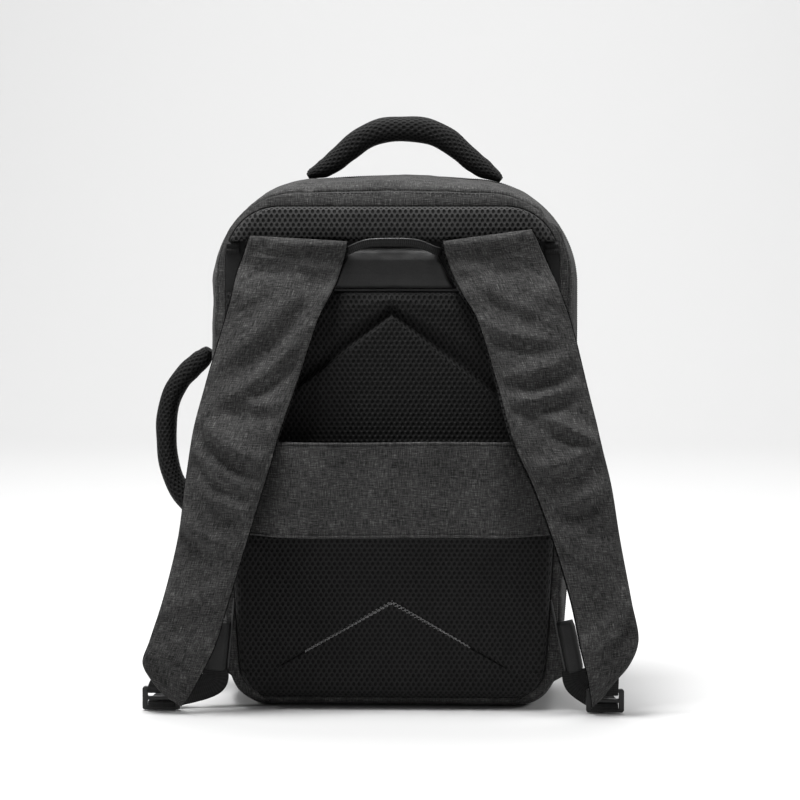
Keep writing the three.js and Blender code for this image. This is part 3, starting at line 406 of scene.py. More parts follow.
def ribbed_finish(name, value, pitch, depth):
    """Woven tape: ribs across its width every pitch, crossed by fine lengthwise yarns."""
    finish, tree, shader = new_finish(name, 0.62, gloss=0.2)
    split = tree.nodes.new("ShaderNodeSeparateXYZ")
    tree.links.new(weave_coordinates(tree, (1000, 1000)), split.inputs[0])
    ribs = math(tree, "SINE", math(tree, "MULTIPLY", split.outputs[1], 2 * np.pi / pitch))
    yarns = math(tree, "SINE", math(tree, "MULTIPLY", split.outputs[0], 2 * np.pi / 1.1))
    woven = math(tree, "ADD", math(tree, "MULTIPLY", ribs, 0.3), math(tree, "MULTIPLY", yarns, 0.12))
    woven = math(tree, "ADD", woven, 0.5)
    worn = math(tree, "MULTIPLY", noise(tree, weave_coordinates(tree, (160, 160)), 1.0), 0.4)
    mixed = math(tree, "ADD", math(tree, "MULTIPLY", woven, 0.7), worn)
    colour = ramp(tree, mixed, ((0.2, grey(value * 0.45)), (0.85, grey(value * 1.7))))
    tree.links.new(colour, shader.inputs["Base Color"])
    add_bump(tree, shader, woven, depth, 0.8)
    return finish


def plain_finish(name, value, roughness, grain, depth, metal=0.0):
    """Moulded plastic, thread or painted metal: an even colour broken by a fine grain and soft wear."""
    finish, tree, shader = new_finish(name, roughness, gloss=0.35)
    shader.inputs["Metallic"].default_value = metal
    source = add_node(tree, "ShaderNodeTexCoord")
    fine = noise(tree, source.outputs["Object"], grain, detail=3)
    colour = ramp(tree, fine, ((0.3, grey(value * 0.75)), (0.75, grey(value * 1.3))))
    tree.links.new(colour, shader.inputs["Base Color"])
    uneven = math(tree, "ADD", math(tree, "MULTIPLY", fine, 0.25), roughness - 0.12)
    tree.links.new(uneven, shader.inputs["Roughness"])
    add_bump(tree, shader, fine, depth, 0.5)
    return finish


HEATHER = heather_finish()
# The back pad's air mesh is painted darker as painted shade of the recessed pad; the band's copy of the same
# mesh is painted paler as painted light from above.
SHADED_PAD_MESH = mesh_finish("air_mesh", 0.0125, 0.0008, across=4.6, down=7.6)
LIT_BAND_MESH = mesh_finish("band_mesh_painted_light", 0.042, 0.002, across=4.6, down=7.6)
GRIP_MESH = mesh_finish("grip_mesh", 0.015, 0.0015, across=4.2, down=6.8)
EDGE_MESH = mesh_finish("strap_mesh", 0.02, 0.002, across=3.4, down=5.6)
PANEL = smooth_finish("coated_panel", 0.017, 0.5, grain=700, depth=0.00025, coat=0.06)
# The piping cloth is painted paler than the other dark cloth, as the painted highlight along its glossy
# corded edges.
PIPING_WITH_PAINTED_HIGHLIGHT = smooth_finish("piping_cloth_painted_highlight", 0.05, 0.36, grain=700, depth=0.0001, coat=0.3)
WEBBING = ribbed_finish("webbing_ribs", 0.008, 1.7, 0.0004)
ZIP_TAPE = ribbed_finish("zip_tape_weave", 0.011, 0.9, 0.0002)
THREAD = plain_finish("dark_thread", 0.012, 0.6, 900, 0.0001)
PALE_THREAD = plain_finish("grey_thread", 0.2, 0.6, 900, 0.0001)
PLASTIC = plain_finish("black_plastic", 0.008, 0.34, 260, 0.00005)
ZIP_METAL = plain_finish("painted_metal", 0.02, 0.32, 420, 0.00003, metal=0.6)


# Body


def outline(size, place):
    """Right half of an outline as x and z: place 0 to 1 is the base run from the middle, 1 to 2 the lower
    corner's arc, 2 to 3 the bowed side, 3 to 4 the upper corner's arc, 4 to 5 the crowned top run."""
    place = np.asarray(place, float)
    share = place - np.minimum(np.floor(place), 4)
    angle = share * np.pi / 2
    low = size["floor"] + size["base_round"]
    high = size["height"] - size["top_round"]
    base_run = size["base"] - size["base_round"]
    top_run = size["top"] - size["top_round"]
    bow = size["bow"] * np.sin(np.pi * share)
    stretches = [place < 1, place < 2, place < 3, place < 4]
    x = np.select(stretches, [
        base_run * share,
        base_run + size["base_round"] * np.sin(angle),
        interpolate(size["base"], size["top"], share) + bow,
        top_run + size["top_round"] * np.cos(angle),
    ], top_run * (1 - share))
    z = np.select(stretches, [
        np.full_like(share, size["floor"]),
        low - size["base_round"] * np.cos(angle),
        interpolate(low, high, share),
        high + size["top_round"] * np.sin(angle),
    ], size["height"] + size["crown"] * (1 - (1 - share) ** 2))
    return x, z


def half_width(size, z):
    """Half width of an outline at a height, from its base corner to its top corner."""
    x, heights = outline(size, np.linspace(1, 3.98, 300))
    return np.interp(z, heights, x)


def drawn_in(size, by):
    """The same outline, set in by a distance all round."""
    inner = dict(size)
    for key in ("base", "top", "height", "base_round", "top_round"):
        inner[key] = size[key] - by
    inner["floor"] = size["floor"] + by
    return inner


def gusset_point(place, side, y, out=0.0):
    """Point of the gusset: the body's outline at a place and side, moved along its normal by the bulge
    across the depth and a distance out. Where the outline looks down the bulge fades and the base is flat."""
    step = 1e-3
    x, z = outline(BODY, place)
    before = outline(BODY, np.maximum(place - step, 0))
    after = outline(BODY, np.minimum(place + step, 5))
    length = np.hypot(after[0] - before[0], after[1] - before[1])
    normal_x = (after[1] - before[1]) / length
    normal_z = (before[0] - after[0]) / length
    across = np.clip((y - GUSSET_START_Y) / (FRONT_EDGE_Y - GUSSET_START_Y), 0, 1)
    free = np.where(normal_z < 0, normal_x**2, 1.0)
    reach = GUSSET_BULGE * np.sin(np.pi * across) * free + out
    return np.stack(np.broadcast_arrays(side * (x + normal_x * reach), y, z + normal_z * reach), -1)


def grid_normals(grid):
    """Unit normals of a grid of points that runs round along its columns."""
    along = np.gradient(grid, axis=0)
    wrapped = np.concatenate([grid[:, -1:], grid, grid[:, :1]], axis=1)
    round_it = (wrapped[:, 2:] - wrapped[:, :-2]) / 2
    return unit(np.cross(round_it, along))


RING_PLACES = np.concatenate([
    np.linspace(0, 1, 22, endpoint=False), np.linspace(1, 2, 14, endpoint=False),
    np.linspace(2, 3, 60, endpoint=False), np.linspace(3, 4, 34, endpoint=False), np.linspace(4, 5, 20)])
RING_SIDES = np.concatenate([np.ones(len(RING_PLACES)), -np.ones(len(RING_PLACES) - 2)])
RING_PLACES = np.concatenate([RING_PLACES, RING_PLACES[-2:0:-1]])
RIM_SEAM = np.radians(36)
RIM_STITCH = np.radians(29)

# Soft folds of the gusset: place, side, depth share across the gusset, sizes and depth in millimetres
GUSSET_FOLDS = [
    (2.25, 1, 0.35, 0.3, 0.16, 2.0), (2.7, 1, 0.6, 0.22, 0.2, 1.8), (3.45, 1, 0.3, 0.2, 0.14, 2.4),
    (2.2, -1, 0.55, 0.26, 0.18, 2.0), (3.4, -1, 0.35, 0.22, 0.16, 2.0), (4.3, -1, 0.75, 0.3, 0.2, 1.2),
]

# The pucker at the right shoulder: place, width and depth of its fold and of the rolls beside it
PUCKER = [(3.47, 0.05, 3.0), (3.37, 0.06, -1.8), (3.57, 0.07, -1.4)]


def rim_point(place, side, angle):
    """Point of the rolled rim between the mouth and the gusset: a quarter turn that starts square to the
    back and ends along the depth."""
    mouth = outline(MOUTH, place)
    body = outline(BODY, place)
    turn = np.sin(angle)
    y = STRAP_SIDE_Y + RIM_DEPTH * (1 - np.cos(angle))
    x = interpolate(mouth[0], body[0], turn)
    return np.stack(np.broadcast_arrays(side * x, y, interpolate(mouth[1], body[1], turn)), -1)


def body_grid():
    """Outer skin of the body: rim, gusset, front edge and front face, as rings round the outline."""
    place, side = RING_PLACES[None, :], RING_SIDES[None, :]
    rim = rim_point(place, side, np.linspace(0, np.pi / 2, 42, endpoint=False)[:, None])
    gusset_y = np.linspace(GUSSET_START_Y, FRONT_EDGE_Y, 46, endpoint=False)[:, None]
    gusset = gusset_point(place, side, gusset_y)
    turn = np.linspace(0, np.pi / 2, 20)[:, None]
    edge = gusset_point(place, side, np.full_like(turn, FRONT_EDGE_Y), -FRONT_ROUND * (1 - np.cos(turn)))
    edge[..., 1] = FRONT_EDGE_Y + FRONT_ROUND * np.sin(turn)
    shrink = np.linspace(1, 0, 40)[1:, None]
    middle = BODY["height"] / 2
    last = edge[-1][None]
    face = last * shrink[..., None]
    face[..., 2] += middle * (1 - shrink)
    face[..., 1] = last[..., 1] + FRONT_CROWN * (1 - shrink**2)
    return np.concatenate([rim, gusset, edge, face]), (len(rim), len(gusset), len(edge))


def body_relief(grid, counts):
    """How far the skin stands in, in millimetres: seams as narrow grooves with a soft roll beside them, the
    folds of the gusset, a pucker at the right shoulder, and slow uneven sag; nothing on the base or mouth."""
    rim_rows, gusset_rows, edge_rows = counts
    rows = np.arange(len(grid))[:, None]
    angle = np.clip(rows / rim_rows, 0, 1) * np.pi / 2
    across = np.clip((rows - rim_rows) / gusset_rows, 0, 1)
    place, side = RING_PLACES[None, :], RING_SIDES[None, :]
    on_rim = rows < rim_rows
    depth = np.zeros(grid.shape[:2])
    depth += on_rim * (1.3 * bump(angle, RIM_SEAM, 0.045) - 0.7 * bump(angle, RIM_SEAM - 0.17, 0.1)
                       - 0.5 * bump(angle, RIM_SEAM + 0.2, 0.12))
    front_seam = rim_rows + gusset_rows + edge_rows * 0.35
    depth += 1.1 * bump(rows, front_seam, 0.9)
    depth -= 0.5 * (bump(rows, front_seam - 3, 2) + bump(rows, front_seam + 3, 2))
    for fold_place, fold_side, fold_across, long, wide, deep in GUSSET_FOLDS:
        on_side = (side == fold_side) & (rows >= rim_rows)
        depth += on_side * deep * bump(place, fold_place, long) * bump(across, fold_across, wide)
    shoulder = (side > 0) * bump(angle, 0.95, 0.45) * (rows < rim_rows + gusset_rows * 0.3)
    for pucker_place, wide, deep in PUCKER:
        depth += shoulder * deep * bump(place, pucker_place, wide)
    top = (place > 3.9) * on_rim
    depth += top * 0.8 * np.sin(grid[..., 0] / 17) * np.sin(angle) ** 2
    sag = 0.9 * soft_noise(grid, 90, 3) + 0.45 * soft_noise(grid, 34, 4) + 0.2 * soft_noise(grid, 15, 5)
    before_pole = smooth(0.0, 0.12, 1 - rows / (len(grid) - 1))
    return (depth + sag) * smooth(0, 10, grid[..., 2]) * smooth(0.1, 0.8, angle) * before_pole


def body_piece():
    """The body wall: outer skin with its relief, an inner skin set in by the wall, and the mouth's edge."""
    grid, counts = body_grid()
    normals = grid_normals(grid)
    if (normals[60] * (grid[60] - grid[60].mean(0))).sum() < 0:
        normals = -normals
    normals[-1] = (0, 1, 0)
    inner = grid - normals * BODY_WALL
    inner[0] = grid[0] + np.array([0, BODY_WALL, 0])
    outer = grid - normals * body_relief(grid, counts)[..., None]
    outer[-1] = outer[-1].mean(0)
    inner = inner[list(range(0, len(inner) - 1, 5)) + [len(inner) - 1]]
    inner[-1] = inner[-1].mean(0)
    mouth = np.stack([outer[0], inner[0]])
    patches = [patch(grid, round_columns=True) for grid in (outer, inner, mouth)]
    add_piece("body_shell_cloth", patches, HEATHER, ["body_shell"], sharp=60)


def ring_path(angle, out=0.15, from_place=1.0):
    """A line round the rim at an angle of its turn, from one lower corner over the top to the other, with
    the rim's outward directions."""
    keep = RING_PLACES >= from_place
    place, side = RING_PLACES[keep], RING_SIDES[keep]
    low = rim_point(place, side, angle - 0.02)
    high = rim_point(place, side, angle + 0.02)
    centre = rim_point(place, side, angle)
    across = unit(high - low)
    along = directions_along(centre)
    normal = unit(np.cross(along, across))
    outward = centre - np.array([0, 20, BODY["height"] / 2])
    normal *= np.sign((normal * outward).sum(-1, keepdims=True))
    return centre + normal * out, normal


# Back


def slab_patches(front, back):
    """A closed body between a front and a back grid whose borders face each other."""
    borders = [(front[0], back[0]), (front[-1], back[-1]),
               (front[:, 0], back[:, 0]), (front[:, -1], back[:, -1])]
    return [patch(front), patch(back), *(patch(np.stack(pair)) for pair in borders)]


def seated_slab(x, depth, z):
    """A closed body that lies flat on the back's plane and stands out of it by a depth at each x and z."""
    front = np.stack(np.broadcast_arrays(x, SEAT_Y - depth, z), -1)
    back = np.stack(np.broadcast_arrays(x, SEAT_Y + 0 * depth, z), -1)
    return slab_patches(front, back)


def edge_share(across):
    """How full a pad is at a share of its half width: thin at the sewn edge, full inside."""
    inside = np.minimum((1 - np.abs(across)) / 0.08, 1)
    return 0.35 + 0.65 * np.sqrt(np.maximum(inside * (2 - inside), 0))


PAD_SIZE = drawn_in(MOUTH, PAD_SEAM)

# Rows of the back pad: height share, fall of the row towards the sides, thickness share
PAD_ROWS = np.array([
    (0, 0, 0.35), (0.012, 0, 0.7), (0.035, 0, 0.9), (0.075, 0.02, 0.98), (0.15, 0.25, 1.0),
    (0.228, 0.55, 1.0), (0.252, 0.6, 1.0), (0.42, 0.65, 1.05), (0.62, 0.7, 1.05), (0.84, 0.75, 1.04),
    (0.925, 0.75, 1.02), (0.938, 0.75, 0.98), (0.95, 0.75, 0.5), (0.96, 0.73, 0.42), (0.972, 0.55, 0.78),
    (0.985, 0.2, 0.8), (1, 0, 0.55)])
# Where the back pad's grid has its rows: end of each stretch as a height share, and rows in it
PAD_STRETCHES = [(0.05, 16), (0.22, 30), (0.26, 22), (0.9, 84)]
PAD_LAST_ROWS = 60
CHEVRON_LOW = 0.24


def pad_place(height, across):
    """Place on the back pad, x and z, of a row's height share and a share of its half width: each row
    starts at its peak in the middle and falls to both sides in a straight chevron with a softened tip."""
    tall = PAD_TOP - PAD_SIZE["floor"]
    peak = PAD_SIZE["floor"] + height * tall
    fall = np.interp(height, PAD_ROWS[:, 0], PAD_ROWS[:, 1])
    half = half_width(PAD_SIZE, peak - fall * half_width(PAD_SIZE, peak))
    return half * across, peak - fall * half * np.abs(across)


def pad_depth(height, across):
    """Thickness of the back pad: the rows' thickness, full inside and thin at its edges, with the stitched
    chevron pressed into it and a slow unevenness of the foam."""
    x, z = pad_place(height, across)
    thick = np.interp(height, PAD_ROWS[:, 0], PAD_ROWS[:, 2])
    points = np.stack(np.broadcast_arrays(x, 0.0, z), -1)
    pressed = 1.6 * bump(height, CHEVRON_LOW, 0.0045) * smooth(0.9, 0.8, np.abs(across))
    uneven = 0.35 * soft_noise(points, 70, 11) + 0.12 * soft_noise(points, 18, 12)
    uneven = uneven * smooth(0, 0.06, 1 - np.abs(across))
    return (PAD_THICK * thick - pressed + uneven) * edge_share(across)


def shares_across(at_edge, inside):
    """Shares of a half width from 1 to -1, closer together in the last tenth at both edges."""
    ends = 1 - np.linspace(0, 1, at_edge, endpoint=False) ** 1.6 * 0.1
    half = np.concatenate([ends, np.linspace(0.9, 0, inside)])
    return np.concatenate([half, -half[-2::-1]])[None, :]


def back_pad_piece():
    """The air-mesh back pad with its raised chevron panel and its stitched chevron."""
    starts = [0, *(end for end, _ in PAD_STRETCHES)]
    stretches = [np.linspace(start, end, count, endpoint=False)
                 for start, (end, count) in zip(starts, PAD_STRETCHES)]
    heights = np.concatenate([*stretches, np.linspace(starts[-1], 1, PAD_LAST_ROWS)])[:, None]
    across = shares_across(14, 50)
    x, z = pad_place(heights, across)
    depth = pad_depth(heights, across)
    depth[[0, -1]] *= 0.8
    # The pad's mesh colour is darkened as painted shade.
    add_piece("back_pad_mesh", seated_slab(x, depth, z), SHADED_PAD_MESH, ["back_pad"])


def chevron_thread():
    """Two rows of pale thread that follow the stitched chevron, in a small zigzag."""
    across = np.linspace(-0.62, 0.56, 600)
    rows = []
    for shift in (-0.0028, 0.0028):
        height = np.full_like(across, CHEVRON_LOW + shift)
        x, z = pad_place(height, across)
        path = np.stack([x, SEAT_Y - pad_depth(height, across) - 0.2, z + 0.9 * np.sin(x * 1.9)], -1)
        rows.append(stitch_patches(path, (0, -1, 0), pitch=2.6, length=2.1, wide=1.0, high=0.7))
    add_piece("chevron_stitches", rows, PALE_THREAD)


def puffed_patches(rows, low, high, half_at, thickness, seed, columns=80, steps=40, crease=0.3):
    """A puffed panel: rows of height share and thickness share between two heights, a half width at each
    height, thin at its side edges, with a light crease pattern."""
    rows = np.array(rows)
    heights = np.linspace(0, 1, steps)[:, None]
    across = shares_across(10, columns // 2)
    z = interpolate(low, high, heights)
    thick = thickness * np.interp(heights, rows[:, 0], rows[:, 1]) * edge_share(across)
    x = half_at(z) * across
    points = np.stack(np.broadcast_arrays(x, 0.0, z), -1)
    inside = smooth(0, 0.12, 1 - np.abs(across)) * smooth(0, 0.2, heights) * smooth(0, 0.2, 1 - heights)
    creases = soft_noise(points, 45, seed) + 0.4 * soft_noise(points, 16, seed + 1)
    return seated_slab(x, thick + crease * inside * creases, z)


# Height share and thickness share
BAND_ROWS = [(0, 0.5), (0.05, 0.75), (0.12, 0.9), (0.4, 1), (0.75, 0.9), (0.92, 0.7), (1, 0.35)]
PANEL_ROWS = [(0, 0.55), (0.06, 0.75), (0.2, 0.92), (0.35, 1), (0.5, 1), (0.7, 0.88), (0.88, 0.6), (1, 0.3)]
PIPING_THICK = 3.4
PIPING_HALF = 134.1
PANEL_BOTTOM = PAD_TOP + 2 * GAP + PIPING_THICK
PANEL_TOP = BAND_BOTTOM - 5.5
PANEL_HALF_BASE = 52
PANEL_HALF_TOP = 35
PANEL_THICK = 9
LOOP_HALF = 41
LOOP_STAND = 12
LOOP_DROP = 8.7
LOOP_ARCH = 7.9
LOOP_TALL = 7
LOOP_THICK = 2
POCKET_ZIP_LONG = 11
POCKET_ZIP_TALL = 11


def top_band_piece():
    """Air-mesh band above the strap pocket."""
    def half_at(z):
        return half_width(PAD_SIZE, z)

    patches = puffed_patches(BAND_ROWS, BAND_BOTTOM, PAD_SIZE["height"], half_at,
                             BAND_THICK, 21, columns=110, steps=34)
    # The band's mesh colour is lightened as painted light from above.
    add_piece("top_band_mesh", patches, LIT_BAND_MESH, ["top_mesh_band"])


def pocket_panel_piece():
    """Smooth puffed panel between the straps, wider below."""
    def half_at(z):
        share = (z - PANEL_BOTTOM) / (PANEL_TOP - PANEL_BOTTOM)
        return interpolate(PANEL_HALF_BASE, PANEL_HALF_TOP, share)

    patches = puffed_patches(PANEL_ROWS, PANEL_BOTTOM, PANEL_TOP, half_at,
                             PANEL_THICK, 23, columns=90, steps=50, crease=0.45)
    add_piece("pocket_panel_cloth", patches, PANEL, ["pocket_panel"])


def pocket_piping_piece():
    """Corded edge of the strap pocket: a round cord in smooth cloth that sways a little along its run."""
    radius = PIPING_THICK / 2
    x = np.linspace(-PIPING_HALF, PIPING_HALF, 260)
    y = SEAT_Y - radius - 0.1 + 0.1 * np.sin(x / 9)
    path = np.stack([x, y, PAD_TOP + GAP + radius + 0.1 * np.sin(x / 13)], -1)
    thick = PIPING_THICK - 0.25 + 0.12 * np.sin(x / 4.1)
    patches = tube(path, thick, thick, np.array([0, 0, 1.0]), sides=14)
    add_piece("pocket_piping_cord", patches, PIPING_WITH_PAINTED_HIGHLIGHT, ["pocket_piping"])


def hang_loop_piece():
    """Webbing loop between the straps: it leaves the wall at both ends and stands off in a low arch, with
    a corded upper edge."""
    share = np.linspace(-1, 1, 120)
    lift = 1 - share**4
    path = np.stack([LOOP_HALF * share, SEAT_Y - 1.1 - LOOP_STAND * np.cbrt(lift),
                     BAND_BOTTOM - LOOP_DROP + LOOP_ARCH * lift**2], -1)
    loop = tube(path, LOOP_TALL, LOOP_THICK, np.array([0, 0, 1.0]), sides=20, squareness=0.45)
    add_piece("hang_loop_webbing", loop, WEBBING, ["hang_loop"])
    cord = path[2:-2] + np.array([0, -0.4, 3.1])
    # The edge cord wears the piping cloth, painted paler as its highlight.
    add_piece("hang_loop_edge", tube(cord, 1.2, 1.5, np.array([0, 0, 1.0]), sides=10), PIPING_WITH_PAINTED_HIGHLIGHT)


def pocket_zips():
    """Ends of the strap pocket's zip: two soft rows of coil on a tape, running in from the side seams."""
    down = np.linspace(0, 1, 26)
    proud = 0.3 + 0.62 * (bump(down, 0.22, 0.13) + bump(down, 0.68, 0.13))
    for name, side in (("left", -1), ("right", 1)):
        top = BAND_BOTTOM - GAP
        outer = half_width(PAD_SIZE, BAND_BOTTOM - POCKET_ZIP_TALL)
        along = np.linspace(outer, outer - POCKET_ZIP_LONG, 34)
        ridged = 1 + 0.12 * np.sin(along * 2 * np.pi / 1.4)
        depth = 2.88 * proud[:, None] * ridged[None, :]
        patches = seated_slab(side * along[None, :], depth, (top - down * POCKET_ZIP_TALL)[:, None])
        add_piece(f"pocket_zip_{name}_coil", patches, ZIP_TAPE, [f"pocket_zip_{name}"])


# Sleeve and straps


def curve_through(points, t):
    """Centripetal Catmull-Rom curve through points, at t from 0 to 1, as whole arrays: each stretch is a
    cubic whose end tangents come from the neighbours, weighted by the square root of their distances."""
    points = np.asarray(points, float)
    points = np.concatenate([[2 * points[0] - points[1]], points, [2 * points[-1] - points[-2]]])
    last = len(points) - 4
    place = np.asarray(t, float) * (last + 1)
    index = np.clip(np.floor(place).astype(int), 0, last)
    share = (place - index)[:, None]
    p0, p1, p2, p3 = (points[index + k] for k in range(4))
    steps = (p1 - p0, p2 - p1, p3 - p2)
    d0, d1, d2 = (np.maximum(np.linalg.norm(step, axis=1), 1e-6)[:, None] ** 0.5 for step in steps)
    out_of = ((p1 - p0) / d0 - (p2 - p0) / (d0 + d1) + (p2 - p1) / d1) * d1
    into = ((p2 - p1) / d1 - (p3 - p1) / (d1 + d2) + (p3 - p2) / d2) * d1
    return (p1 + out_of * share + (3 * (p2 - p1) - 2 * out_of - into) * share**2
            + (2 * (p1 - p2) + out_of + into) * share**3)


SLEEVE_BOTTOM = 151
SLEEVE_TALL = 80
SLEEVE_THICK = 2.5
SLEEVE_STAND = 44
SLEEVE_HALF = 148.68
# Half of the sleeve's line: share of its half width and share of its stand-off
SLEEVE_ROWS = [(1, -0.1), (0.98, -0.035), (0.962, 0.002), (0.952, 0.1), (0.935, 0.25), (0.88, 0.43),
               (0.765, 0.68), (0.68, 0.87), (0.615, 0.965), (0.55, 1), (0.28, 1), (0, 1)]
SLEEVE_STEP = 1.6
HEM = 2.7
# Distances from an edge at which the sleeve's grid has its rows, close together over the hem
HEM_ROWS = np.array([0, 0.2, 0.5, 0.9, 1.3, 1.7, 2.1, 2.4, 2.7, 3.0, 3.3, 3.8, 5, 7])


def sleeve_line():
    """Middle line of the sleeve from the left seam to the right one, with its outward directions."""
    rows = SLEEVE_ROWS + [(-across, stand) for across, stand in SLEEVE_ROWS[-2::-1]]
    seat = SEAT_Y - SLEEVE_THICK / 2
    points = [(-across * SLEEVE_HALF, seat - stand * SLEEVE_STAND, 0) for across, stand in rows]
    line, _ = resampled(curve_through(points, np.linspace(0, 1, 900)), SLEEVE_STEP)
    out = np.cross(directions_along(line), (0, 0, 1))
    return line, out


def sleeve_surface(line, out, heights, face):
    """A face of the sleeve over its line and heights: half the cloth's thickness out, rounded off at the
    rolled edges, pressed in along the hem's stitching, on a band that ripples slightly."""
    z = SLEEVE_BOTTOM + heights[:, None] * SLEEVE_TALL + 0 * line[None, :, 0]
    edge = np.minimum(heights, 1 - heights)[:, None] * SLEEVE_TALL
    rounded = np.sqrt(np.clip(1 - np.clip(1 - edge / 1.3, 0, 1) ** 2, 0, 1))
    thick = rounded * (SLEEVE_THICK / 2 + 0.3 * bump(edge, 1.2, 0.8) - 0.4 * bump(edge, HEM, 0.55))
    points = np.stack(np.broadcast_arrays(line[None, :, 0], line[None, :, 1], z), -1)
    free = smooth(0, 25, 140 - np.abs(points[..., 0]))
    wide_ripple = 0.9 * soft_noise(points * (1, 1, 0.35), 60, 31)
    fine_ripple = 0.3 * soft_noise(points * (1, 1, 0.5), 24, 32)
    shift = (wide_ripple + fine_ripple) * free + face * thick
    points = points + out[None] * shift[..., None]
    points[..., 2] += 0.5 * np.sin(points[..., 0] / 31) * free
    return points


def sleeve_piece():
    """The sleeve's band of cloth, with rolled long edges and a row of stitches inside each."""
    line, out = sleeve_line()
    inside = np.linspace(9, SLEEVE_TALL - 9, 44)
    heights = np.concatenate([HEM_ROWS, inside, SLEEVE_TALL - HEM_ROWS[::-1]]) / SLEEVE_TALL
    run = np.arange(len(line)) * SLEEVE_STEP
    pattern = np.stack(np.broadcast_arrays(run[None, :], (heights * SLEEVE_TALL)[:, None]), -1)
    faces = [sleeve_surface(line, out, heights, face) for face in (1, -1)]
    patches = [patch(grid, pattern) for grid in faces]
    for end in (0, -1):
        edges = np.stack([face[:, end] for face in faces])
        patches.append(patch(edges, np.stack([pattern[:, end]] * 2)))
    piece = add_piece("sleeve_band", patches, HEATHER, ["trolley_sleeve"])
    rows = []
    for height in (HEM / SLEEVE_TALL, 1 - HEM / SLEEVE_TALL):
        path = sleeve_surface(line, out, np.array([height]), 1)[0] - out * 0.05
        rows.append(stitch_patches(path[4:-4], out[4:-4], pitch=3.6, length=2.7, wide=0.75))
    stitches = add_piece("sleeve_stitches", rows, THREAD)


STRAP_SPREAD = 200
STRAP_DROP = 400
STRAP_STAND = 50
STRAP_THICK = 12

# Strap edges from the pocket down: outer x and z, inner x and z, outer and inner stand-off, thickness
LEFT_STRAP = np.array([
    (0.6, 1.004, 0.18, 0.992, 0.3, 0.3, 0.75), (0.615, 0.984, 0.185, 0.978, 0.25, 0.25, 1.05),
    (0.63, 0.962, 0.195, 0.958, 0.175, 0.175, 1.2), (0.655, 0.925, 0.215, 0.922, 0.21, 0.22, 1.15),
    (0.67, 0.885, 0.245, 0.885, 0.4, 0.42, 1.05), (0.7, 0.83, 0.295, 0.835, 0.46, 0.52, 1.05),
    (0.775, 0.7, 0.385, 0.7, 0.56, 0.7, 1.05), (0.83, 0.585, 0.462, 0.585, 0.72, 1.04, 1.05),
    (0.855, 0.495, 0.515, 0.495, 0.78, 1.07, 1.05), (0.89, 0.375, 0.59, 0.375, 0.78, 1, 1.05),
    (0.955, 0.245, 0.67, 0.245, 0.76, 0.88, 1.05), (1.015, 0.155, 0.735, 0.145, 0.7, 0.76, 1.05),
    (1.045, 0.108, 0.805, 0.075, 0.66, 0.68, 1), (1.01, 0.07, 0.85, 0.035, 0.62, 0.62, 0.9),
    (0.955, 0.036, 0.885, 0.014, 0.6, 0.6, 0.7)])
RIGHT_STRAP = np.array([
    (0.59, 1.018, 0.205, 0.992, 0.3, 0.3, 0.75), (0.615, 0.994, 0.21, 0.978, 0.26, 0.25, 1.05),
    (0.64, 0.966, 0.22, 0.958, 0.18, 0.175, 1.2), (0.675, 0.925, 0.245, 0.922, 0.21, 0.22, 1.15),
    (0.71, 0.885, 0.285, 0.885, 0.4, 0.42, 1.05), (0.75, 0.83, 0.345, 0.835, 0.46, 0.52, 1.05),
    (0.815, 0.7, 0.43, 0.705, 0.56, 0.7, 1.05), (0.87, 0.585, 0.5, 0.585, 0.72, 1.06, 1.05),
    (0.915, 0.49, 0.58, 0.495, 0.78, 1.04, 1.05), (0.955, 0.375, 0.67, 0.375, 0.78, 0.96, 1.05),
    (1.005, 0.245, 0.75, 0.24, 0.76, 0.86, 1.05), (1.035, 0.16, 0.79, 0.145, 0.7, 0.76, 1.05),
    (1.0, 0.112, 0.82, 0.085, 0.66, 0.68, 1), (0.935, 0.07, 0.835, 0.045, 0.62, 0.62, 0.9),
    (0.885, 0.036, 0.845, 0.018, 0.6, 0.6, 0.7)])

# Soft folds that cross a strap: place along it, slant over its width, width and depth as shares
STRAP_FOLDS = [(0.17, 0.1, 0.04, 0.16), (0.3, -0.12, 0.035, -0.14), (0.42, -0.1, 0.03, 0.18),
               (0.5, 0.08, 0.03, -0.12), (0.64, 0.12, 0.04, 0.14), (0.8, -0.08, 0.05, 0.12)]

# Creases of a strap's face, in millimetres from its middle line and from its top end, and in degrees:
# place across, place down, slant, length, width and height
STRAP_CREASES = {
    -1: [(-6, 88, -58, 44, 12, 2.2), (8, 128, -48, 34, 8, 2.4), (16, 152, 12, 24, 7, 2.2),
         (-4, 186, 30, 46, 7, 3.6), (-10, 206, 34, 40, 6, 2.2), (10, 238, 20, 26, 6, 2.0),
         (-12, 262, 26, 34, 6.5, 2.6), (4, 318, -22, 36, 9, 1.8), (-8, 372, 30, 30, 8, 1.6)],
    1: [(8, 60, -40, 34, 9, 1.6), (12, 96, -12, 30, 7, 2.2), (-6, 124, 20, 42, 7, 2.8),
        (8, 152, 10, 34, 6, 2.4), (-12, 178, -28, 30, 6, 2.4), (4, 206, 16, 42, 7, 2.8),
        (-8, 236, 24, 36, 6.5, 2.2), (6, 276, -30, 34, 9, 1.8), (-8, 340, 44, 40, 7, 2.2)]}
CREASE_HEIGHT = 2.1
# Level of the seam between a strap's two cushions, and how far the heather face reaches over the mesh one
# towards the outer and the inner edge, as shares of the half width
STRAP_SEAM = -0.22
FACE_OUTER = 0.972
FACE_INNER = {-1: 0.972, 1: 0.945}


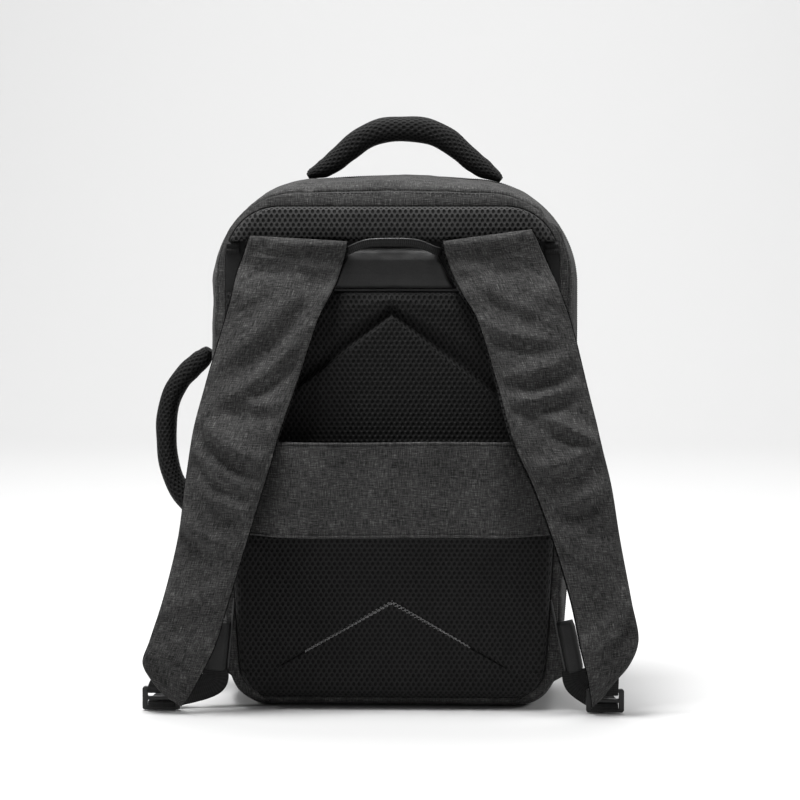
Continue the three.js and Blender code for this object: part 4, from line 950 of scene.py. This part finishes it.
def creased(creases, across, down):
    """Height of soft creases over a cloth: each a ridge along its slant that fades out at both ends, with a
    shallow trough beside it."""
    height = 0 * (across + down)
    for middle, place, slant, long, wide, high in creases:
        turn = np.radians(slant)
        a = (across - middle) * np.cos(turn) + (down - place) * np.sin(turn)
        b = (down - place) * np.cos(turn) - (across - middle) * np.sin(turn)
        b = b + 0.004 * a * a
        ridge = np.exp(-((b / wide) ** 2)) - 0.7 * np.exp(-(((b - 1.5 * wide) / wide) ** 2))
        height = height + high * np.exp(-((a / long) ** 2)) * ridge
    return height


def strap_frame(rows, side, down):
    """Outer edge, way across to the inner edge, unit direction out of the strap's face and half thickness
    at places down a strap."""
    down = np.asarray(down, float)
    scale = np.array([side * STRAP_SPREAD, 1, STRAP_DROP])
    outer = np.stack([rows[:, 0], STRAP_SIDE_Y - rows[:, 4] * STRAP_STAND, rows[:, 1]], -1) * scale
    inner = np.stack([rows[:, 2], STRAP_SIDE_Y - rows[:, 5] * STRAP_STAND, rows[:, 3]], -1) * scale
    edge = curve_through(outer, down)
    across = curve_through(inner, down) - edge
    low, high = np.maximum(down - 0.02, 0), np.minimum(down + 0.02, 1)
    along = (curve_through(outer, high) + curve_through(inner, high)
             - curve_through(outer, low) - curve_through(inner, low))
    out = unit(np.cross(along, across))
    out = out * np.where(out[:, 1:2] > 0, -1, 1)
    half = STRAP_THICK / 2 * np.interp(down * (len(rows) - 1), np.arange(len(rows)), rows[:, 6])
    return edge, across, out, half


def strap_fold(down, share):
    """Slanted soft folds over a strap, in millimetres out of its face."""
    depth = sum(deep * bump(down, place + slant * share * 0.5, wide)
                for place, slant, wide, deep in STRAP_FOLDS)
    return depth * STRAP_THICK


def strap_level(rows, side, down, share, level, relief=0.0):
    """Surface in a strap at a level from -1 at its back to 1 at its face, over places down it and shares
    across it; the section is full in the middle and closes in a steep curve at both edges."""
    edge, across, out, half = strap_frame(rows, side, down[:, 0])
    full = np.cbrt(1 - np.minimum(np.abs(share), 1) ** 3)
    shift = strap_fold(down, share) + half[:, None] * full * level + relief
    place = edge[:, None] + across[:, None] * ((share + 1) / 2)[..., None]
    return place + out[:, None] * shift[..., None]


def strap_pieces(name, rows, side, seed):
    """A strap as two cushions that meet in a seam: the heather face, and the mesh underside that stands a
    little wider, so that its dark edge shows beside the face."""
    down = np.linspace(0, 1, 230)[:, None]
    turn = np.linspace(-np.pi / 2, np.pi / 2, 65)[None, :]
    share = np.sin(turn)
    edge, across, _, _ = strap_frame(rows, side, down[:, 0])
    width = np.linalg.norm(across, axis=1)[:, None]
    middle = edge + across / 2
    run = distances_along(middle)[:, None]
    pattern = np.stack(np.broadcast_arrays(share * width / 2, run), -1)
    ends = np.sqrt(np.clip(1 - np.clip(1 - np.minimum(run, run[-1] - run) / 4, 0, 1) ** 2, 0.06, 1))
    inside = smooth(0, 0.2, 1 - np.abs(share)) * ends
    place = strap_level(rows, side, down, share, 0)
    slanted = place @ np.array([[0.8, 0, -0.35 * side], [0, 1, 0], [0.55 * side, 0, 0.9]])
    crumple = (1.0 * soft_noise(slanted * (0.55, 1, 1), 46, seed) + 0.45 * soft_noise(slanted, 20, seed + 1)
               + 0.16 * soft_noise(slanted, 9, seed + 2)
               + CREASE_HEIGHT * creased(STRAP_CREASES[side], share * width / 2, run)) * inside
    face_share = interpolate(-FACE_OUTER, FACE_INNER[side], (share + 1) / 2)
    face = strap_level(rows, side, down, face_share, 0.98 * ends, crumple - 0.7)
    back_of_face = strap_level(rows, side, down, face_share, STRAP_SEAM)
    under = strap_level(rows, side, down, share, -1 * ends, 0.1 * inside * soft_noise(place, 14, seed + 3))
    top_of_under = strap_level(rows, side, down, share, STRAP_SEAM - 0.04)
    for suffix, front, back, finish, slot, replaced, fill in (
        ("face", face, back_of_face, HEATHER, "heather_fabric", [f"strap_{name}"], 0.7),
        ("underside", top_of_under, under, EDGE_MESH, "air_mesh", (), 0.6),
    ):
        front[:, [0, -1]] = (front[:, [0, -1]] + back[:, [0, -1]]) / 2
        back[:, [0, -1]] = front[:, [0, -1]]
        patches = [patch(front, pattern), patch(back, pattern)]
        for end in (0, -1):
            edges = np.stack([front[end], back[end]])
            patches.append(patch(edges, np.stack([pattern[end]] * 2)))
        add_piece(f"strap_{name}_{suffix}", patches, finish, replaced)


# Handles

HANDLE_WIDE = 26
HANDLE_Y = 4
TOP_HANDLE_SHIFT = 8
TOP_HANDLE_HALF = 88
TOP_HANDLE_RISE = 40
TOP_HANDLE_THICK = 22
SIDE_HANDLE_LIFT = 1
SIDE_HANDLE_HALF = 82
SIDE_HANDLE_RISE = 43.5
SIDE_HANDLE_THICK = 17.5

# Half of each carry handle's path: share of the half chord, of the rise, of the thickness and of the width
TOP_HANDLE_ROWS = np.array([
    (0.95, 0, 0.25, 0.92), (0.89, 0, 0.48, 0.96), (0.81, 0.01, 0.7, 1), (0.74, 0.08, 0.8, 1),
    (0.66, 0.23, 0.85, 1), (0.56, 0.45, 0.9, 1), (0.41, 0.75, 0.96, 1), (0.22, 0.955, 1, 1), (0, 1, 1, 1)])
SIDE_HANDLE_ROWS = np.array([
    (0.95, 0, 0.5, 0.92), (0.915, 0, 0.72, 0.97), (0.87, 0.04, 0.9, 1), (0.81, 0.16, 1.02, 1),
    (0.73, 0.36, 1.06, 1), (0.62, 0.6, 1.04, 1), (0.46, 0.83, 1, 1), (0.24, 0.97, 1, 1), (0, 1, 1, 1)])


def top_surface(a):
    """Body surface under the top handle at a distance from its middle, and the way out of it."""
    x = TOP_HANDLE_SHIFT + a
    run = BODY["top"] - BODY["top_round"]
    round_share = np.arcsin(np.maximum(np.abs(x) - run, 0) / BODY["top_round"]) / (np.pi / 2)
    place = 5 - np.minimum(np.abs(x) / run, 1) - round_share
    points = gusset_point(place, np.sign(x), np.full_like(x, HANDLE_Y))
    points[:, 0] = x
    return points, np.array([0.0, 0, 1])


def side_surface(a):
    """Body surface under the side handle at a distance from its middle, and the way out of it."""
    z = BODY["height"] / 2 + SIDE_HANDLE_LIFT + a
    place = 2 + (z - BODY["base_round"]) / (BODY["height"] - BODY["top_round"] - BODY["base_round"])
    return gusset_point(place, -1.0, np.full_like(a, HANDLE_Y)), np.array([-1.0, 0, 0])


def handle_piece(node, surface, half_rows, half, rise, thick):
    """A padded carry handle: a soft bar carried along its arch, thin and flat at its sewn ends, with rows
    of stitches over both ends."""
    rows = np.concatenate([half_rows * (-1, 1, 1, 1), half_rows[-2::-1]])
    base, out = surface(rows[:, 0] * half + 1e-6)
    lift = GAP + rows[:, 2] * thick / 2 + rows[:, 1] * (rise - thick / 2)
    t = np.linspace(0, 1, 150)
    path = curve_through(base + out * lift[:, None], t)
    at = t * (len(rows) - 1)
    thin = np.interp(at, np.arange(len(rows)), rows[:, 2])
    wide = np.interp(at, np.arange(len(rows)), rows[:, 3])
    soft = 1 + 0.02 * np.sin(t * 61) + 0.015 * np.sin(t * 23 + 1)
    parts = tube(path, wide * HANDLE_WIDE, thin * thick * soft, np.array([0, 1.0, 0]),
                 sides=36, squareness=0.8)
    add_piece(f"{node}_mesh", parts, GRIP_MESH, [node], sharp=50)
    outward = unit(np.cross(directions_along(path), (0, 1.0, 0)))
    outward *= np.sign((outward[len(path) // 2] * out).sum())
    stitches = []
    for low, high in ((2, 9), (141, 148)):
        for sideways in (-0.34, -0.12, 0.12, 0.34):
            span = slice(low, high)
            line = path[span] + outward[span] * (thin[span] * thick / 2)[:, None] * 0.97
            line = line + np.array([0, sideways * HANDLE_WIDE, 0])
            stitches.append(stitch_patches(line, outward[span], pitch=2.6, length=2.0, high=0.4))
    add_piece(f"{node}_stitches", stitches, THREAD)


# Lower anchors

WING_TOP = 95
WING_CORNER = 30
WING_FOOT = 4
WING_THICK = 2.6
TAB_THICK = 6
TAB_FROM = 0.32
TAB_WIDE = {-1: 19, 1: 14}
WING_REACH = {-1: MOUTH["base"] + 10, 1: MOUTH["base"] + 17}
WEB_WIDE = 22
WEB_THICK = 1.6
LOCK_THICK = 4.5
LOCK_Y = -89
LOCK_Z = 11
SLOT_STEP = 4.25
WEB_SEAT = 1.35
TAIL_LENGTH = 9
WEB_SLACK = 7
WEB_FROM = 0.955
WEB_TURN = 1.12
LOCK_X = {-1: 195, 1: 180}


def wing_edge(side, share, out=0.0):
    """Place on the wing's free edge, x and z, at a share from its top to its corner, moved out of it."""
    top = np.array([half_width(PAD_SIZE, WING_TOP) + PAD_SEAM, WING_TOP])
    along = np.array([WING_REACH[side], WING_CORNER]) - top
    normal = np.array([-along[1], along[0]]) / np.hypot(*along)
    place = top + along * np.asarray(share)[..., None] + normal * np.asarray(out)[..., None]
    return place * (side, 1)


def wing_pieces(name, side):
    """A creased fabric wing between the back's lower corner and its free edge, with a corded edge and a
    row of stitches along its foot."""
    heights = np.linspace(WING_TOP, 13, 40)
    inner = np.stack([half_width(PAD_SIZE, heights) + PAD_SEAM, heights], -1)
    foot = np.array([[half_width(PAD_SIZE, PAD_SIZE["floor"]) + PAD_SEAM, WING_FOOT]])
    inner = np.concatenate([inner, foot])
    outer = np.concatenate([wing_edge(side, np.linspace(0, 1, 30)) * (side, 1), foot])
    inner, _ = resampled(np.c_[inner, np.zeros(len(inner))], 1.2)
    count = len(inner)
    outer_lengths = distances_along(outer)
    wanted = np.linspace(0, outer_lengths[-1], count)
    outer = np.stack([np.interp(wanted, outer_lengths, outer[:, axis]) for axis in range(2)], -1)
    across = np.linspace(0, 1, 26)[:, None, None]
    flat = interpolate(inner[None, :, :2], outer[None], across)
    points = np.stack([flat[..., 0], 0 * flat[..., 0], flat[..., 1]], -1)
    wave = np.sin(points[..., 2] / 5 + points[..., 0] / 9)
    crease = 0.5 * soft_noise(points, 26, 41) + 0.7 * wave * across[..., 0]
    edge = np.sin(np.pi * across[..., 0]) ** 0.3
    cloth = seated_slab(side * flat[..., 0], 1.3 + (0.6 + 0.45 * crease) * edge, flat[..., 1])
    add_piece(f"strap_wing_{name}_cloth", cloth, HEATHER, [f"strap_wing_{name}"])
    corded = wing_edge(side, np.linspace(0.02, 0.99, 60), -0.5)
    path = np.stack([corded[:, 0], np.full(60, SEAT_Y - 1.9), corded[:, 1]], -1)
    cord = tube(path, 1.9, 1.9, np.array([0, 1.0, 0]), sides=10)
    add_piece(f"strap_wing_{name}_cord", cord, PIPING_WITH_PAINTED_HIGHLIGHT)
    hem = flat[:, -8:-1].mean(1)[3:-2]
    hem_path = np.stack([side * hem[:, 0], np.full(len(hem), SEAT_Y - 2.1), hem[:, 1] + 2.5], -1)
    thread = stitch_patches(hem_path, (0, -1, 0), pitch=3.2)
    add_piece(f"strap_wing_{name}_stitches", [thread], THREAD)


def tab_piece(name, side):
    """A smooth tab folded over the wing's free edge: a soft plate with rounded edges, crowned outward."""
    along = np.linspace(0, 1, 40)[None, :]
    out = np.linspace(0, 1, 26)[:, None]
    crown = 1.0 * smooth(0, 0.15, along) * smooth(0, 0.15, 1 - along)
    reach = GAP + out * (TAB_WIDE[side] + crown)
    place = wing_edge(side, interpolate(TAB_FROM, 1, along) + 0 * out, reach)
    near = np.minimum(along, 1 - along) * 40
    side_edge = np.minimum(out, 1 - out) * TAB_WIDE[side]
    round_long = np.sqrt(np.clip(1 - np.clip(1 - near / 2.5, 0, 1) ** 2, 0.02, 1))
    round_wide = np.sqrt(np.clip(1 - np.clip(1 - side_edge / 4.5, 0, 1) ** 2, 0.02, 1))
    depth = TAB_THICK * (0.25 + 0.75 * round_wide) * (0.3 + 0.7 * round_long)
    depth = depth - 0.5 * bump(out, 0.12, 0.05)
    fold = seated_slab(place[..., 0], depth, place[..., 1])
    add_piece(f"strap_tab_{name}_fold", fold, PANEL, [f"strap_tab_{name}"])


def web_piece(name, node, side, places):
    """A webbing ribbon on a smooth curve through places, its width kept as near to X as it can be."""
    path, _ = resampled(curve_through(np.array(places) * (side, 1, 1), np.linspace(0, 1, 400)), 0.8)
    parts = tube(path, WEB_WIDE, WEB_THICK, np.array([1.0, 0, 0]), sides=24, squareness=0.35)
    add_piece(name, parts, WEBBING, [node])


def lower_webbing(name, side, lock_x):
    """Webbing from under the tab's lower end, down behind the strap and through the adjuster's lower slot."""
    start, turn = (wing_edge(side, share, GAP + TAB_WIDE[side] / 2) * (side, 1)
                   for share in (WEB_FROM, WEB_TURN))
    slot = LOCK_Z - SLOT_STEP + WEB_SEAT
    behind, front = LOCK_Y + LOCK_THICK / 2, LOCK_Y - LOCK_THICK / 2
    out = SEAT_Y - WING_THICK - 2 * GAP - WEB_THICK / 2
    web_piece(f"webbing_{name}_ribbon", f"webbing_{name}", side, [
        (start[0], out, start[1]), (turn[0], out - GAP, turn[1]),
        (interpolate(start[0], lock_x, 0.66), behind + 1.6 * WEB_SLACK, slot + 0.7 * WEB_SLACK),
        (lock_x, behind + WEB_SLACK, slot + GAP), (lock_x, behind + 0.4 * WEB_SLACK, slot),
        (lock_x, LOCK_Y, slot), (lock_x, front - 0.9 * WEB_THICK, slot - 0.3 * WEB_THICK),
        (lock_x, front - 1.6 * WEB_THICK, slot - TAIL_LENGTH / 2)])


def strap_end(name, side, lock_x, rows):
    """Webbing sewn to the back of the strap's end and led down through the adjuster's upper slot."""
    slot = LOCK_Z + SLOT_STEP + WEB_SEAT
    front = LOCK_Y - LOCK_THICK / 2
    seats = []
    for down in (0.87, 0.84):
        edge, across, out, half = strap_frame(rows, side, [down])
        shift = strap_fold(down, 0.0) - half[0] - 2 * GAP - WEB_THICK / 2
        point = edge[0] + across[0] / 2 + out[0] * shift
        seats.append((side * point[0], point[1], point[2]))
    web_piece(f"strap_end_{name}_ribbon", f"strap_end_{name}", side, [
        (lock_x, LOCK_Y + LOCK_THICK / 2 + 1.5, slot - 1), (lock_x, LOCK_Y, slot - GAP / 2),
        (lock_x, front - WEB_THICK, slot), (lock_x, front - 1.6 * WEB_THICK, slot + 3), *seats])


def bevelled_copy(name, node, finish, width):
    """A copy of a CAD node with its triangles merged into flat faces and its edges rounded."""
    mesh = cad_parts[node].data.copy()
    mesh.name = name
    made = bmesh.new()
    made.from_mesh(mesh)
    bmesh.ops.remove_doubles(made, verts=made.verts, dist=0.00001)
    bmesh.ops.dissolve_limit(made, angle_limit=np.radians(1), verts=made.verts, edges=made.edges)
    made.to_mesh(mesh)
    made.free()
    mesh.shade_smooth()
    mesh.set_sharp_from_angle(angle=np.radians(35))
    mesh.materials.clear()
    mesh.materials.append(finish)
    piece = bpy.data.objects.new(name, mesh)
    bpy.context.scene.collection.objects.link(piece)
    bevel = piece.modifiers.new("rounded edges", "BEVEL")
    bevel.width = width * MM
    bevel.segments = 3
    bevel.limit_method = "ANGLE"
    bevel.angle_limit = np.radians(30)
    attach(piece, "root")
    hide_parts(node)


# Main zip

ZIP_Y = 26
ZIP_FROM = 1.7
ZIP_COIL_HALF = 2.2
# The tape's section: distance from its middle across the gusset, and height over the gusset
ZIP_SECTION = np.array([
    (-6.5, 0.3), (-6.4, 1.2), (-5.6, 1.4), (-3.2, 1.35), (-2.4, 1.6),
    (2.4, 1.6), (3.2, 1.35), (5.6, 1.4), (6.4, 1.2), (6.5, 0.3)])


def main_zip_pieces():
    """Zip tape that follows the gusset from one lower corner to the other, with small teeth along it."""
    keep = RING_PLACES >= ZIP_FROM
    place, side = RING_PLACES[keep][None, :], RING_SIDES[keep][None, :]
    grid = gusset_point(place, side, ZIP_Y + ZIP_SECTION[:, :1], ZIP_SECTION[:, 1:])
    closing = np.stack([grid[0], grid[-1]])
    ends = [patch(np.stack([grid[:5, end], grid[:4:-1, end]])) for end in (0, -1)]
    run = distances_along(grid[4])
    pattern = np.stack(np.broadcast_arrays(ZIP_SECTION[:, :1], run[None, :]), -1)
    parts = [patch(grid, pattern), patch(closing, pattern[[0, -1]]),
             *((points, faces, np.zeros((len(faces), 4, 2))) for points, faces, _ in ends)]
    add_piece("main_zip_tape", parts, ZIP_TAPE, ["main_zip"])
    middle, over = (gusset_point(place[0], side[0], float(ZIP_Y), high) for high in (1.6, 2.6))
    outward = unit(over - middle)
    teeth = stitch_patches(middle, outward, pitch=1.9, length=1.25, wide=2 * ZIP_COIL_HALF, high=1.0)
    add_piece("main_zip_coil", [teeth], PLASTIC)


# Build

body_piece()
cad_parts["back_wall"].data.materials.clear()
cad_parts["back_wall"].data.materials.append(plain_finish("wall_cloth", 0.012, 0.7, 420, 0.0002))
add_piece("rim_stitches", [stitch_patches(*ring_path(RIM_STITCH))], THREAD)
back_pad_piece()
chevron_thread()
top_band_piece()
pocket_panel_piece()
pocket_piping_piece()
hang_loop_piece()
pocket_zips()
sleeve_piece()
handle_piece("top_handle", top_surface, TOP_HANDLE_ROWS, TOP_HANDLE_HALF, TOP_HANDLE_RISE, TOP_HANDLE_THICK)
handle_piece("side_handle", side_surface, SIDE_HANDLE_ROWS,
             SIDE_HANDLE_HALF, SIDE_HANDLE_RISE, SIDE_HANDLE_THICK)
for name, side, rows in (("left", -1, LEFT_STRAP), ("right", 1, RIGHT_STRAP)):
    strap_pieces(name, rows, side, 50 + side)
    wing_pieces(name, side)
    tab_piece(name, side)
    lower_webbing(name, side, LOCK_X[side])
    strap_end(name, side, LOCK_X[side], rows)
    bevelled_copy(f"ladder_lock_{name}_moulding", f"ladder_lock_{name}", PLASTIC, 0.7)
main_zip_pieces()
bevelled_copy("main_zip_slider_body", "main_zip_slider", ZIP_METAL, 0.5)


# Floor, light and camera

FLOOR_TURN = 1500
FLOOR_GREY = 0.58
ROOM_LIGHT = 0.17
# Lights: name, place, target, size in metres and power in watts
LIGHTS = [("above", (-0.3, -0.4, 2.3), (0, 0, 0.2), 0.7, 68),
          ("left", (-2.3, -0.9, 1.5), (0, 0, 0.25), 0.5, 20),
          ("right", (2.2, -0.2, 1.3), (0, 0, 0.25), 0.7, 17),
          ("backdrop", (0, 1.6, 3.4), (0, 3.6, 1.0), 3.0, 147)]
# The photograph's view: azimuth and elevation in degrees, distance, target and width seen there in metres
VIEW_AZIMUTH = 2
VIEW_ELEVATION = 4
VIEW_DISTANCE = 2.3
VIEW_TARGET = (0.007, -0.084, 0.264)
VIEW_WIDTH = 0.672
SENSOR = 36


def stage_floor():
    """A pale floor that curves up into a backdrop far behind the bag."""
    turn = np.linspace(0, np.pi / 2, 24)
    deep = np.concatenate([[-6000], 4000 - FLOOR_TURN * (1 - np.sin(turn)), [4000]])
    high = np.concatenate([[0], FLOOR_TURN * (1 - np.cos(turn)), [7000]])
    wide = np.array([-7000, 7000])
    grid = np.stack(np.broadcast_arrays(wide[None, :], deep[:, None], high[:, None]), -1)
    points, faces, _ = patch(grid)
    mesh = bpy.data.meshes.new("floor")
    mesh.from_pydata((points * MM).tolist(), [], faces.tolist())
    mesh.shade_smooth()
    finish, tree, shader = new_finish("pale_floor", 0.9)
    shader.inputs["Base Color"].default_value = (FLOOR_GREY, FLOOR_GREY, FLOOR_GREY, 1)
    mesh.materials.append(finish)
    floor = bpy.data.objects.new("floor", mesh)
    bpy.context.scene.collection.objects.link(floor)


def area_light(name, place, target, size, power):
    """A square soft light at a place, turned to a target, in metres and watts."""
    light = bpy.data.lights.new(name, "AREA")
    light.size = size
    light.energy = power
    lamp = bpy.data.objects.new(name, light)
    lamp.location = place
    way = np.array(target) - np.array(place)
    lamp.rotation_mode = "QUATERNION"
    lamp.rotation_quaternion = Vector(way).to_track_quat("-Z", "Y")
    bpy.context.scene.collection.objects.link(lamp)


def place_camera():
    """The photograph's view: a long lens a little to the right of and above the strap side's middle."""
    azimuth, elevation = np.radians(VIEW_AZIMUTH), np.radians(VIEW_ELEVATION)
    level = np.cos(elevation)
    back = Vector((np.sin(azimuth) * level, -np.cos(azimuth) * level, np.sin(elevation)))
    data = bpy.data.cameras.new("camera")
    data.sensor_width = SENSOR
    data.lens = SENSOR * VIEW_DISTANCE / VIEW_WIDTH
    data.clip_end = 50
    camera = bpy.data.objects.new("camera", data)
    camera.location = Vector(VIEW_TARGET) + back * VIEW_DISTANCE
    camera.rotation_mode = "QUATERNION"
    camera.rotation_quaternion = (-back).to_track_quat("-Z", "Y")
    bpy.context.scene.collection.objects.link(camera)
    bpy.context.scene.camera = camera


def light_room():
    """Even pale surroundings with soft lights above, on both sides and on the backdrop."""
    world = bpy.data.worlds.new("room")
    bpy.context.scene.world = world
    world.use_nodes = True
    background = world.node_tree.nodes["Background"]
    background.inputs["Color"].default_value = (1, 1, 1, 1)
    background.inputs["Strength"].default_value = ROOM_LIGHT
    for light in LIGHTS:
        area_light(*light)
    bpy.context.scene.view_settings.view_transform = "Standard"


stage_floor()
light_room()
place_camera()
